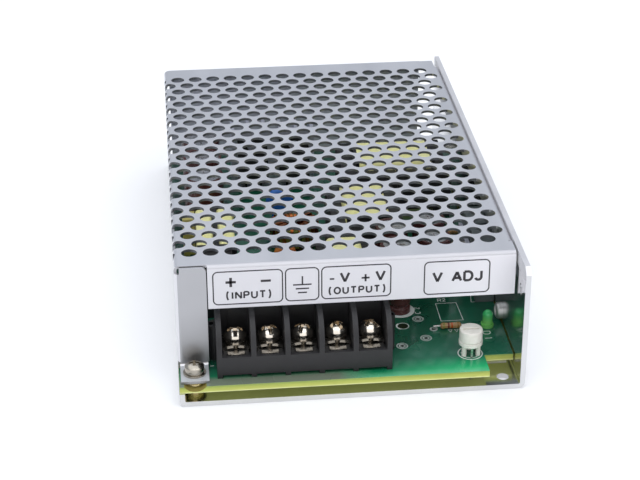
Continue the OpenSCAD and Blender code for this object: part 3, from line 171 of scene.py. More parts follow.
coverSheet = grainFinish("coverSheet", tone(220, 219, 222), tone(227, 226, 229),
                         dict(cloud=60, grain=2500, rough=(0.34, 0.42), depth=0.004,
                              stretch=(1, 0.12, 1)), Metallic=1.0)
# painted shade: a darker, duller copy of the cover steel on the vent-hole walls holds down their highlights
ventShadeSheet = grainFinish("ventShadeSheet", tone(124, 126, 130), tone(146, 148, 152),
                       dict(cloud=200, grain=2500, rough=(0.45, 0.6), depth=0.006), Metallic=1.0)
innerSheet = grainFinish("innerSheet", tone(228, 229, 240), tone(238, 239, 248),
                         dict(cloud=80, grain=2500, rough=(0.5, 0.62), depth=0.004), Metallic=0.1)
# painted shade: a darker copy of the cover steel on the lip's bend dims the highlight there
bendShadeSheet = grainFinish("bendShadeSheet", tone(197, 196, 200), tone(207, 206, 210),
                        dict(cloud=60, grain=2500, rough=(0.5, 0.58), depth=0.003), Metallic=0.8)
# painted light: a less metallic copy of the cover steel on the foot's top shows lighter than its dark
# reflections
footLitSheet = grainFinish("footLitSheet", tone(200, 203, 207), tone(212, 215, 218),
                        dict(cloud=120, grain=2500, rough=(0.36, 0.44), depth=0.003), Metallic=0.25)
edgeSheet = grainFinish("edgeSheet", tone(206, 205, 208), tone(216, 215, 218),
                        dict(cloud=120, grain=2500, rough=(0.45, 0.55), depth=0.004), Metallic=0.6)
chassisSheet = grainFinish("chassisSheet", tone(208, 208, 209), tone(217, 217, 218),
                           dict(cloud=60, grain=2500, rough=(0.13, 0.2), depth=0.002,
                                stretch=(1, 0.12, 1)), Metallic=1.0)
rimLook = {"height": (33.5, 34.5), "inside": (47.1, 47.3), "colour": tone(214, 213, 216),
           "metal": 0.3, "rough": 0.55}


# the wall's inner face is duller above the bend of the cover
def dullRim(finish, look):
    tree = finish.node_tree
    shader = tree.nodes["Principled BSDF"]
    where = axes(tree, objectPlace(tree))
    rim = multiply(tree, over(tree, where["Z"], look["height"]),
                   over(tree, where["X"], look["inside"], 1.0, 0.0))
    base, rough = (shader.inputs[key].links[0].from_socket for key in ("Base Color", "Roughness"))
    feed(tree, shader, mixColour(tree, rim, base, look["colour"]), mixNumber(tree, rim, rough, look["rough"]))
    tree.links.new(spread(tree, rim, 1.0, look["metal"]), shader.inputs["Metallic"])


dullRim(chassisSheet, rimLook)
footSteel = grainFinish("footSteel", tone(160, 153, 141), tone(184, 178, 167),
                        dict(cloud=400, grain=2600, rough=(0.2, 0.3), depth=0.004), Metallic=1.0)
platedSteel = grainFinish("platedSteel", tone(205, 200, 190), tone(222, 218, 210),
                          dict(cloud=300, grain=3000, rough=(0.16, 0.28), depth=0.003), Metallic=1.0)
nutZinc = grainFinish("nutZinc", tone(214, 214, 212), tone(230, 230, 228),
                      dict(cloud=300, grain=2200, rough=(0.36, 0.46), depth=0.004), Metallic=0.8)
screwNickel = grainFinish("screwNickel", tone(222, 212, 198), tone(238, 230, 218),
                          dict(cloud=500, grain=1800, rough=(0.1, 0.2), depth=0.006), Metallic=1.0)
clampNickel = grainFinish("clampNickel", tone(172, 166, 157), tone(198, 192, 183),
                          dict(cloud=500, grain=1500, rough=(0.16, 0.3), depth=0.008), Metallic=1.0)
contactTin = grainFinish("contactTin", tone(178, 175, 170), tone(202, 199, 194),
                         dict(cloud=400, grain=2000, rough=(0.2, 0.34), depth=0.006), Metallic=1.0)
filmSheet = grainFinish("filmSheet", tone(214, 214, 206), tone(228, 228, 222),
                        dict(cloud=80, grain=600, rough=(0.3, 0.42), depth=0.01))
blockPlastic = grainFinish("blockPlastic", tone(31, 30, 32), tone(40, 39, 41),
                           dict(cloud=150, grain=5000, rough=(0.48, 0.58), depth=0.004))
trimmerNylon = grainFinish("trimmerNylon", tone(230, 226, 216), tone(243, 240, 232),
                           dict(cloud=400, grain=3000, rough=(0.34, 0.46), depth=0.005))
leadTin = grainFinish("leadTin", tone(196, 194, 190), tone(222, 220, 216),
                      dict(cloud=500, grain=2500, rough=(0.2, 0.34), depth=0.004), Metallic=1.0)
ferrite = grainFinish("ferrite", tone(38, 38, 40), tone(56, 55, 57),
                      dict(cloud=250, grain=2500, rough=(0.55, 0.7), depth=0.01))
bobbinPlastic = grainFinish("bobbinPlastic", tone(28, 28, 30), tone(40, 40, 42),
                            dict(cloud=200, grain=3500, rough=(0.35, 0.48), depth=0.004))
ringPaint = grainFinish("ringPaint", tone(96, 104, 40), tone(128, 134, 60),
                        dict(cloud=250, grain=1500, rough=(0.4, 0.55), depth=0.008))
filmCase = grainFinish("filmCase", tone(224, 210, 116), tone(238, 226, 144),
                       dict(cloud=150, grain=2500, rough=(0.3, 0.42), depth=0.004))
discLacquer = grainFinish("discLacquer", tone(40, 104, 198), tone(58, 130, 222),
                          dict(cloud=250, grain=900, rough=(0.16, 0.26), depth=0.012))
dippedLacquer = grainFinish("dippedLacquer", tone(190, 108, 54), tone(210, 132, 74),
                            dict(cloud=250, grain=900, rough=(0.16, 0.28), depth=0.012))
packageResin = grainFinish("packageResin", tone(30, 30, 31), tone(44, 44, 45),
                           dict(cloud=300, grain=3500, rough=(0.5, 0.62), depth=0.006))
siliconeRubber = grainFinish("siliconeRubber", tone(96, 104, 106), tone(122, 130, 131),
                             dict(cloud=200, grain=1800, rough=(0.5, 0.62), depth=0.01))
sinkAluminium = grainFinish("sinkAluminium", tone(210, 211, 226), tone(226, 227, 240),
                            dict(cloud=120, grain=2000, rough=(0.4, 0.52), depth=0.005,
                                 stretch=(1, 1, 0.1)), Metallic=0.5)
canTop = grainFinish("canTop", tone(200, 200, 202), tone(226, 226, 228),
                     dict(cloud=300, grain=2200, rough=(0.22, 0.34), depth=0.006), Metallic=1.0)
padTin = grainFinish("padTin", tone(168, 178, 172), tone(196, 204, 199),
                     dict(cloud=500, grain=2500, rough=(0.35, 0.5), depth=0.004), Metallic=0.3)
brassGold = grainFinish("brassGold", tone(196, 176, 122), tone(222, 205, 156),
                        dict(cloud=300, grain=2500, rough=(0.2, 0.32), depth=0.003), Metallic=1.0)
printWhite = grainFinish("printWhite", tone(222, 228, 222), tone(238, 242, 238),
                         dict(cloud=500, grain=4000, rough=(0.45, 0.6), depth=0.004))
printDark = grainFinish("printDark", tone(40, 37, 41), tone(56, 52, 57),
                        dict(cloud=700, grain=4000, rough=(0.4, 0.55), depth=0.004))
capSleeve = grainFinish("capSleeve", tone(74, 42, 42), tone(98, 58, 56),
                        dict(cloud=140, grain=1200, rough=(0.18, 0.3), depth=0.008, stretch=(1, 1, 0.4)))

# tones that run along one axis, all painted: painted shade darkens the tab towards its foot,
# a painted highlight makes the LED paler at its base, and painted light makes the lip brighter at its right
# end
tabLook = {"name": "tabShadedSheet", "axis": "Z", "span": (7.0, 23.0), "low": tone(160, 160, 162),
           "high": tone(181, 181, 184), "rough": (0.34, 0.44), "metal": 1.0}
ledLook = {"name": "ledLitResin", "axis": "Z", "span": (8.0, 10.5), "low": tone(150, 246, 130),
           "high": tone(78, 232, 138), "rough": (0.1, 0.2), "metal": 0.0,
           "sockets": {"Transmission Weight": 0.2, "Coat Weight": 0.5, "Coat Roughness": 0.08}}
lipLook = {"name": "lipLitSheet", "axis": "X", "span": (22.0, 46.0), "low": tone(225, 224, 228),
           "high": tone(248, 246, 250), "rough": (0.56, 0.62), "metal": 0.5}
runGrain = {"cloud": 150.0, "mix": 0.08, "depth": 0.004}


def runFinish(look):
    finish, tree, shader = newFinish(look["name"], Metallic=look["metal"], **look.get("sockets", {}))
    place = objectPlace(tree)
    run = over(tree, axes(tree, place)[look["axis"]], look["span"])
    cloud = noise(tree, place, runGrain["cloud"])
    shade = ramp(tree, run, [(0.0, look["low"]), (1.0, look["high"])])
    shade = mixColour(tree, spread(tree, cloud, 0.0, runGrain["mix"]), shade, look["low"])
    feed(tree, shader, shade, spread(tree, cloud, *look["rough"]))
    roughBump(tree, shader, cloud, runGrain["depth"], strength=0.3)
    return finish


tabShadedSheet = runFinish(tabLook)
lipLitSheet = runFinish(lipLook)
ledLitResin = runFinish(ledLook)

# yellow tape: wrapped layers show as faint steps round the winding, with a painted glow that stands in for
# the light reaching it inside the case
tapeLook = {"dark": tone(243, 240, 164), "light": tone(252, 250, 192), "step": tone(216, 208, 120),
            "rough": (0.22, 0.36), "layers": 90.0, "cloud": 180.0, "mix": 0.25, "depth": 0.03,
            "sockets": {"Coat Weight": 0.2, "Coat Roughness": 0.15,
                        "Emission Color": tone(242, 240, 172), "Emission Strength": 0.18}}


def tapeFinish(look):
    finish, tree, shader = newFinish("windingTape", **look["sockets"])
    place = objectPlace(tree)
    layers = addNode(tree, "ShaderNodeTexWave", {
        "Vector": place, "Scale": look["layers"], "Distortion": 1.5, "Detail": 2.0, "Detail Scale": 2.0},
        bands_direction="Z").outputs["Fac"]
    cloud = noise(tree, place, look["cloud"])
    base = twoTone(tree, cloud, look["dark"], look["light"])
    base = mixColour(tree, spread(tree, layers, 0.0, look["mix"]), base, look["step"])
    feed(tree, shader, base, spread(tree, cloud, *look["rough"]))
    roughBump(tree, shader, layers, look["depth"], strength=0.5)
    return finish


windingTape = tapeFinish(tapeLook)

# enamelled wire, uneven in tone
wireLook = {"dark": tone(170, 96, 48), "light": tone(206, 128, 72), "rough": (0.2, 0.34),
            "cloud": 350.0, "depth": 0.02,
            "sockets": {"Metallic": 1.0, "Coat Weight": 0.5, "Coat Roughness": 0.12,
                        "Coat Tint": (1.0, 0.78, 0.5, 1.0)}}


def wireFinish(look):
    finish, tree, shader = newFinish("copperWire", **look["sockets"])
    cloud = noise(tree, objectPlace(tree), look["cloud"])
    feed(tree, shader, twoTone(tree, cloud, look["dark"], look["light"]), spread(tree, cloud, *look["rough"]))
    roughBump(tree, shader, cloud, look["depth"], strength=0.4)
    return finish


copperWire = wireFinish(wireLook)

# colour bands of the axial resistor, along its own axis
resistorLook = {"middle": 31.3, "length": 6.4, "body": tone(190, 148, 98), "stain": tone(120, 86, 50),
                "rough": (0.2, 0.34), "cloud": 700.0, "mix": 0.18, "depth": 0.01,
                "bands": [(0.12, 0.22, tone(160, 150, 70)), (0.34, 0.43, tone(122, 44, 26)),
                          (0.50, 0.59, tone(205, 92, 30)), (0.78, 0.87, tone(150, 112, 50))]}


def bandFinish(look):
    finish, tree, shader = newFinish("resistorLacquer", **{"Coat Weight": 0.4, "Coat Roughness": 0.1})
    place = objectPlace(tree)
    half = look["length"] / 2
    along = over(tree, axes(tree, place)["X"], (look["middle"] - half, look["middle"] + half))
    stops = [(0.0, look["body"])]
    for low, high, colour in look["bands"]:
        stops += [(low, colour), (high, look["body"])]
    cloud = noise(tree, place, look["cloud"])
    bands = ramp(tree, along, stops, "CONSTANT")
    bands = mixColour(tree, spread(tree, cloud, 0.0, look["mix"]), bands, look["stain"])
    feed(tree, shader, bands, spread(tree, cloud, *look["rough"]))
    roughBump(tree, shader, cloud, look["depth"], strength=0.4)
    return finish


resistorLacquer = bandFinish(resistorLook)

# solder mask: copper under it shows as fields with straight edges; painted light makes it brighter towards
# the front right
maskLook = {"dark": tone(12, 76, 56), "light": tone(24, 102, 76), "field": tone(36, 116, 88),
            "bright": tone(24, 194, 120), "marginLeftReflection": tone(124, 124, 112),
            "marginRight": tone(104, 196, 146), "rough": (0.22, 0.34), "cloud": 70.0, "depth": 0.03,
            "fields": 85.0, "turn": 0.785, "pick": (0.45, 0.6), "fieldMix": 0.6, "leftBright": 0.3,
            "thinMix": 0.75, "wideMix": 0.85,
            "near": (2.5, 9.5), "thin": (0.8, 3.2), "wide": (3.4, 5.4),  # depth from the front in mm
            "right": (10.0, 38.0), "middle": (-4.0, 6.0)}                # X in mm


def maskFinish(look):
    finish, tree, shader = newFinish("solderMask", **{
        "Coat Weight": 0.6, "Coat Roughness": 0.08, "Coat IOR": 1.5})
    place = objectPlace(tree)
    where = axes(tree, place)

    def fromFront(span, start):
        return over(tree, where["Y"], [cadLow.y / mm + depth for depth in span], start, 0.0)

    cloud = noise(tree, place, look["cloud"], Detail=3.0)
    base = twoTone(tree, cloud, look["dark"], look["light"])
    fields = addNode(tree, "ShaderNodeTexVoronoi", {
        "Vector": objectPlace(tree, turn=(0, 0, look["turn"])), "Scale": look["fields"], "Randomness": 0.8},
        distance="CHEBYCHEV", feature="F1").outputs["Color"]
    pick = axes(tree, fields)["X"]
    base = mixColour(tree, spread(tree, pick, 0.0, look["fieldMix"], *look["pick"]), base, look["field"])
    # painted light near the front edge, stronger to the right
    bright = multiply(tree, fromFront(look["near"], 1.0),
                      over(tree, where["X"], look["right"], look["leftBright"]))
    base = mixColour(tree, bright, base, look["bright"])
    # the thin coat along the front edge, wider at the left, where its grey-brown tone is a painted reflection
    # of the terminal block
    side = over(tree, where["X"], look["middle"])
    edge = mixNumber(tree, side, fromFront(look["wide"], look["wideMix"]),
                     fromFront(look["thin"], look["thinMix"]))
    base = mixColour(tree, edge, base, mixColour(tree, side, look["marginLeftReflection"], look["marginRight"]))
    feed(tree, shader, base, spread(tree, cloud, *look["rough"]))
    roughBump(tree, shader, pick, look["depth"], strength=0.3)
    return finish


solderMask = maskFinish(maskLook)

# cut edge of the laminate: painted shade darkens it towards the top, and a painted highlight makes a bright
# line at the bottom
edgeLook = {"span": (4.0, 6.0), "fibre": 900.0, "stretch": (0.15, 0.15, 1), "pick": (0.35, 0.65),
            "mix": 0.2, "stain": tone(140, 146, 70), "rough": (0.4, 0.55), "depth": 0.01, "stops": [
                (0.0, tone(236, 242, 180)), (0.14, tone(226, 230, 150)), (0.24, tone(198, 204, 104)),
                (0.6, tone(182, 192, 88)), (1.0, tone(140, 164, 78))]}


def edgeFinish(look):
    finish, tree, shader = newFinish("boardEdge")
    fibre = noise(tree, objectPlace(tree, look["stretch"]), look["fibre"], Detail=3.0)
    layers = ramp(tree, over(tree, axes(tree, objectPlace(tree))["Z"], look["span"]), look["stops"])
    layers = mixColour(tree, spread(tree, fibre, 0.0, look["mix"], *look["pick"]), layers, look["stain"])
    feed(tree, shader, layers, spread(tree, fibre, *look["rough"]))
    roughBump(tree, shader, fibre, look["depth"], strength=0.4)
    return finish


boardEdge = edgeFinish(edgeLook)
# painted light: a glow and a pale yellow-green on the board's underside stand in for light coming through the
# board
boardUnderGlow = grainFinish("boardUnderGlow", tone(196, 202, 128), tone(212, 216, 150),
                         dict(cloud=120, grain=2500, rough=(0.4, 0.55), depth=0.008),
                         **{"Emission Color": tone(150, 158, 92), "Emission Strength": 0.3})
# painted shade: the walls of the board's holes are dark
holeShadeWall = grainFinish("holeShadeWall", tone(38, 52, 42), tone(58, 70, 58),
                       dict(cloud=300, grain=2500, rough=(0.4, 0.55), depth=0.01))
# painted shade: the scoop in the board's edge under the foot is darker than the rest of the edge
scoopShadeWall = grainFinish("scoopShadeWall", tone(120, 108, 50), tone(160, 146, 76),
                        dict(cloud=300, grain=2500, rough=(0.35, 0.5), depth=0.01))
print("finishes made:", len(bpy.data.materials))

# the finish of each CAD node
nodeFinish = {
    "chassis": chassisSheet, "cover": coverSheet, "insulating_sheet": filmSheet,
    "standoffs": brassGold, "clinch_nuts": nutZinc, "foot_screw": footSteel,
    "spring_washer": footSteel, "flat_washer": footSteel, "board_screws": platedSteel,
    "cover_screws": platedSteel, "board": solderMask, "terminal_housing": blockPlastic,
    "terminal_plates": contactTin, "trimmer_base": trimmerNylon, "trimmer_pins": leadTin,
    "trimmer_knob": trimmerNylon, "led": ledLitResin, "led_leads": leadTin, "resistor": resistorLacquer,
    "resistor_leads": leadTin, "ring_core": ringPaint, "ring_winding": copperWire,
    "film_capacitor": filmCase, "input_capacitors": capSleeve, "front_capacitor": capSleeve,
    "output_capacitors": capSleeve, "disc_capacitors": discLacquer, "dipped_capacitors": dippedLacquer,
    "power_devices": packageResin, "silicone_caps": siliconeRubber, "clamp_bar": sinkAluminium,
    "clamp_screw": platedSteel, "heat_sink": sinkAluminium, "sink_devices": packageResin,
    "control_chips": packageResin, "fuse": packageResin, "small_resistors": resistorLacquer,
}
terminals = range(1, 6)
for number in terminals:
    nodeFinish[f"clamp_plate_{number}"] = clampNickel
    nodeFinish[f"terminal_screw_{number}"] = screwNickel
for coil in ("transformer", "output_choke", "filter_choke", "input_choke"):
    nodeFinish[f"{coil}_core"] = ferrite
    nodeFinish[f"{coil}_bobbin"] = bobbinPlastic
    nodeFinish[f"{coil}_winding"] = windingTape
for name, finish in nodeFinish.items():
    nodes[name].data.materials.clear()
    nodes[name].data.materials.append(finish)
print("finishes put on", len(nodeFinish), "nodes")

# edge width and the shortest edge that is softened, in mm
softEdges = {
    "chassis": (0.12, 2.0), "cover": (0.12, 2.0), "board": (0.08, 1.0),
    "terminal_housing": (0.2, 0.4), "trimmer_knob": (0.15, 0.0), "trimmer_base": (0.1, 0.0),
    "foot_screw": (0.1, 0.0), "flat_washer": (0.06, 0.0), "spring_washer": (0.08, 0.0),
    "film_capacitor": (0.4, 0.0), "silicone_caps": (0.25, 0.5), "heat_sink": (0.1, 1.0),
    "input_capacitors": (0.25, 0.0), "output_capacitors": (0.25, 0.0), "front_capacitor": (0.25, 0.0),
}
for number in terminals:
    softEdges[f"clamp_plate_{number}"] = (0.1, 0.0)
    softEdges[f"terminal_screw_{number}"] = (0.12, 0.0)

# lengths in mm, angles in degrees
edgeRule = {"weld": 0.002, "flat": 0.6, "sharp": 35, "smooth": 20, "sheetSmooth": 0.5, "sheetWidth": 3.0}


def isSheet(face):  # a flat face that is wide in two directions, not a strip of a bend
    reach = sorted(max(v.co[i] for v in face.verts) - min(v.co[i] for v in face.verts) for i in range(3))
    return reach[1] > edgeRule["sheetWidth"] * mm


# shading stays smooth over bends and round edges, and breaks where a flat sheet ends
def shadeByAngle(work):
    sheets = {face for face in work.faces if len(face.verts) > 4 and isSheet(face)}
    for face in work.faces:
        face.smooth = True
    for edge in work.edges:
        limit = edgeRule["sheetSmooth" if sheets.intersection(edge.link_faces) else "smooth"]
        edge.smooth = math.degrees(edge.calc_face_angle(0)) < limit


def newPiece(name, mesh, body):
    piece = bpy.data.objects.new(name, mesh)
    scene.collection.objects.link(piece)
    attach(piece, body)
    return piece


def dressNode(node, width, shortest, segments=2, test=lambda edge: True):
    work = bmesh.new()
    work.from_mesh(nodes[node].data)
    bmesh.ops.remove_doubles(work, verts=work.verts, dist=edgeRule["weld"] * mm)
    bmesh.ops.dissolve_limit(work, angle_limit=math.radians(edgeRule["flat"]), use_dissolve_boundaries=False,
                             verts=work.verts, edges=work.edges, delimit=set())
    sharp = [e for e in work.edges if len(e.link_faces) == 2 and e.calc_length() >= shortest * mm
             and e.calc_face_angle(0) > math.radians(edgeRule["sharp"]) and test(e)]
    bmesh.ops.bevel(work, geom=sharp, offset=width * mm, offset_type="OFFSET", segments=segments,
                    profile=0.5, affect="EDGES", clamp_overlap=True)
    shadeByAngle(work)
    bmesh.ops.triangulate(work, faces=[f for f in work.faces if len(f.verts) > 4])
    mesh = bpy.data.meshes.new(node + "Dressed")
    work.to_mesh(mesh)
    work.free()
    mesh.materials.append(nodeFinish[node])
    piece = newPiece(node + "Dressed", mesh, bodyOf[node])
    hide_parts(node)
    return piece


nutLow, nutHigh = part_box("clinch_nuts")
nutRule = {"radius": 2.5 * mm, "bore": 2.2 * mm, "end": 0.1 * mm, "width": 1.1, "steps": 6}


def nutRim(edge):  # the outer rim of each nut's inner end, which is a dome
    middle = (nutLow.z + nutHigh.z) / 2
    return all(v.co.x < nutLow.x + nutRule["end"] and math.hypot(
        min(abs(v.co.y - nutLow.y - nutRule["radius"]), abs(v.co.y - nutHigh.y + nutRule["radius"])),
        v.co.z - middle) > nutRule["bore"] for v in edge.verts)


dressed = {node: dressNode(node, *size) for node, size in softEdges.items()}
dressed["clinch_nuts"] = dressNode("clinch_nuts", nutRule["width"], 0.0, nutRule["steps"], nutRim)
print("edges softened on", len(dressed), "nodes")


# faces that pass the test take a second finish
def secondFinish(piece, finish, test):
    piece.data.materials.append(finish)
    for face in piece.data.polygons:
        if test(face):
            face.material_index = len(piece.data.materials) - 1


# how much of a face's normal lies along an axis that it looks along, leans to, or only touches
facing, leaning = 0.9, 0.5
bendNormal = {"front": 0.05, "up": 0.2, "side": 0.25, "scoop": 0.1}
boardLow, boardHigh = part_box("board")
boardRule = {"left": 3.5 * mm, "right": 9 * mm, "ends": 3 * mm,  # margins without holes
             "scoop": -44 * mm, "scoopHalf": 3.2 * mm, "scoopBack": -72 * mm, "scoopTop": 0.1 * mm}


def holeSide(face):  # walls of the holes, away from the outline
    spot = face.center
    return (abs(face.normal.z) < facing
            and boardLow.x + boardRule["left"] < spot.x < boardHigh.x - boardRule["right"]
            and boardLow.y + boardRule["ends"] < spot.y < boardHigh.y - boardRule["ends"])


def scoopSide(face):
    spot = face.center
    return (abs(spot.x - boardRule["scoop"]) < boardRule["scoopHalf"] and spot.y < boardRule["scoopBack"]
            and face.normal.z > bendNormal["scoop"] and spot.z < boardHigh.z - boardRule["scoopTop"])


secondFinish(dressed["board"], boardEdge, lambda face: abs(face.normal.z) < facing)
secondFinish(dressed["board"], boardUnderGlow, lambda face: face.normal.z < -facing)
secondFinish(dressed["board"], holeShadeWall, holeSide)
secondFinish(dressed["board"], scoopShadeWall, scoopSide)
coverLow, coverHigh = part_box("cover")
coverRule = {"sheet": 0.85 * mm, "inner": 1.2 * mm, "bend": 1.5 * mm, "rightBend": 3 * mm,
             "holesFront": -64 * mm, "holesBack": 4 * mm, "tabRight": -39.6 * mm, "tabFront": -60 * mm,
             "lipFront": -68 * mm, "bendFront": -66.5 * mm, "footFront": -66 * mm, "footTop": 14 * mm}


def insideCover(face):  # faces that look inwards
    spot, normal, depth = face.center, face.normal, coverRule["inner"]
    return (normal.z < -facing and spot.z > coverHigh.z - depth
            or normal.x > facing and spot.x < coverLow.x + depth
            or normal.y < -facing and spot.y > coverHigh.y - depth)


def ventSide(face):  # walls of the vent holes
    spot, normal, sheet, bend = face.center, face.normal, coverRule["sheet"], coverRule["bend"]
    inTop = spot.z > coverHigh.z - sheet and coverLow.x + bend < spot.x < coverHigh.x - coverRule["rightBend"]
    inWall = spot.x < coverLow.x + sheet and spot.z < coverHigh.z - bend
    inBend = spot.x < coverLow.x + bend and spot.z > coverHigh.z - bend
    clear = coverRule["holesFront"] < spot.y < coverHigh.y - coverRule["holesBack"]
    return clear and (inTop and abs(normal.z) < leaning or inWall and abs(normal.x) < leaning
                      or inBend and abs(normal.y) > bendNormal["side"])


def lipBend(face):
    return (-facing < face.normal.y < -bendNormal["front"] and face.normal.z > bendNormal["up"]
            and face.center.x > coverRule["tabRight"] and face.center.y < coverRule["bendFront"])


def footTop(face):
    return (face.normal.z > facing and face.center.z < coverRule["footTop"]
            and face.center.y < coverRule["footFront"])


def lipFront(face):
    return (face.normal.y < -facing and face.center.x > coverRule["tabRight"]
            and face.center.y < coverRule["lipFront"])


def tabFront(face):
    return (face.normal.y < -facing and face.center.x < coverRule["tabRight"]
            and face.center.y < coverRule["tabFront"])


# the vent walls, lip bend, foot, lip and tab take copies of the cover steel with painted light and shade
for finish, test in ((innerSheet, insideCover), (ventShadeSheet, ventSide), (bendShadeSheet, lipBend),
                     (footLitSheet, footTop), (lipLitSheet, lipFront), (tabShadedSheet, tabFront)):
    secondFinish(dressed["cover"], finish, test)
chassisTop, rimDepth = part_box("chassis")[1].z, 0.3 * mm
secondFinish(dressed["chassis"], edgeSheet,
             lambda face: face.normal.z > leaning and face.center.z > chassisTop - rimDepth)
canDepth = (0.8 * mm, 0.15 * mm)  # the bare top of a can lies this far below its sleeve's rim
for caps in ("input_capacitors", "output_capacitors", "front_capacitor"):
    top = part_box(caps)[1].z
    secondFinish(dressed[caps], canTop, lambda face: face.normal.z > facing
                 and top - canDepth[0] < face.center.z < top - canDepth[1])
print("second finishes put on")


def newTree(name, sizes):
    tree = bpy.data.node_groups.new(name, "GeometryNodeTree")
    tree.interface.new_socket("Geometry", in_out="INPUT", socket_type="NodeSocketGeometry")
    for size in sizes:
        tree.interface.new_socket(size, in_out="INPUT", socket_type="NodeSocketFloat")
    tree.interface.new_socket("Finish", in_out="INPUT", socket_type="NodeSocketMaterial")
    tree.interface.new_socket("Geometry", in_out="OUTPUT", socket_type="NodeSocketGeometry")
    return tree, tree.nodes.new("NodeGroupInput").outputs, tree.nodes.new("NodeGroupOutput").inputs


def endTree(tree, given, result, shape):
    real = addNode(tree, "GeometryNodeRealizeInstances", {"Geometry": shape})
    flat = addNode(tree, "GeometryNodeSetShadeSmooth", {
        "Geometry": real.outputs["Geometry"], "Shade Smooth": False})
    last = addNode(tree, "GeometryNodeSetMaterial", {
        "Geometry": flat.outputs["Geometry"], "Material": given["Finish"]})
    tree.links.new(last.outputs["Geometry"], result["Geometry"])


# a strip of the given width along a curve, pressed flat
def flatStrip(tree, given, curve, caps):
    section = addNode(tree, "GeometryNodeCurvePrimitiveQuadrilateral", {
        "Width": given["Line Width"], "Height": given["Line Width"]})
    strip = addNode(tree, "GeometryNodeCurveToMesh", {
        "Curve": curve, "Profile Curve": section.outputs["Curve"], "Fill Caps": caps})
    thin = addNode(tree, "ShaderNodeMath", {
        0: given["Thickness"], 1: given["Line Width"]}, operation="DIVIDE")
    scale = addNode(tree, "ShaderNodeCombineXYZ", {"X": 1.0, "Y": 1.0, "Z": thin.outputs[0]})
    return addNode(tree, "GeometryNodeTransform", {
        "Geometry": strip.outputs["Mesh"], "Scale": scale.outputs["Vector"]}).outputs["Geometry"]


# a flat strip along each outline, with rounded corners
def frameTree():
    tree, given, result = newTree("roundedFrames", ("Corner Radius", "Line Width", "Thickness"))
    path = addNode(tree, "GeometryNodeMeshToCurve", {"Mesh": given["Geometry"]})
    fillet = addNode(tree, "GeometryNodeFilletCurve", {
        "Curve": path.outputs["Curve"], "Radius": given["Corner Radius"], "Count": 6,
        "Limit Radius": True}, mode="POLY")
    endTree(tree, given, result, flatStrip(tree, given, fillet.outputs["Curve"], True))
    return tree


# a flat ring on each point
def ringTree():
    tree, given, result = newTree("flatRings", ("Radius", "Line Width", "Thickness"))
    circle = addNode(tree, "GeometryNodeCurvePrimitiveCircle", {
        "Resolution": 40, "Radius": given["Radius"]})
    spots = addNode(tree, "GeometryNodeInstanceOnPoints", {
        "Points": given["Geometry"], "Instance": flatStrip(tree, given, circle.outputs["Curve"], False)})
    endTree(tree, given, result, spots.outputs["Instances"])
    return tree


roundedFrames = frameTree()
flatRings = ringTree()


def growMesh(tree, verts, edges, sizes, finish):
    seed = bpy.data.meshes.new("seed")
    seed.from_pydata(verts, edges, [])
    carrier = bpy.data.objects.new("seed", seed)
    scene.collection.objects.link(carrier)
    grow = carrier.modifiers.new("grow", "NODES")
    grow.node_group = tree
    names = {item.name: item.identifier for item in tree.interface.items_tree if item.in_out == "INPUT"}
    for size, value in sizes.items():
        grow[names[size]] = value
    grow[names["Finish"]] = finish
    bpy.context.view_layer.update()
    ready = carrier.evaluated_get(bpy.context.evaluated_depsgraph_get())
    mesh = bpy.data.meshes.new_from_object(ready)
    carrier.modifiers.remove(grow)
    bpy.data.objects.remove(carrier)
    bpy.data.meshes.remove(seed)
    return mesh


printWeld = 0.0005  # points of a mark closer than this, in mm, are one


def joinMeshes(name, meshes, finish):
    work = bmesh.new()
    for mesh in meshes:
        work.from_mesh(mesh)
        bpy.data.meshes.remove(mesh)
    bmesh.ops.remove_doubles(work, verts=work.verts, dist=printWeld * mm)
    bmesh.ops.recalc_face_normals(work, faces=work.faces)
    for face in work.faces:
        face.material_index = 0
    joined = bpy.data.meshes.new(name)
    work.to_mesh(joined)
    work.free()
    joined.materials.append(finish)
    return joined


def arcPoints(centre, size, start, stop, steps=8):
    turns = [math.radians(start + (stop - start) * i / steps) for i in range(steps + 1)]
    return [(centre[0] + size[0] * math.cos(t), centre[1] + size[1] * math.sin(t)) for t in turns]


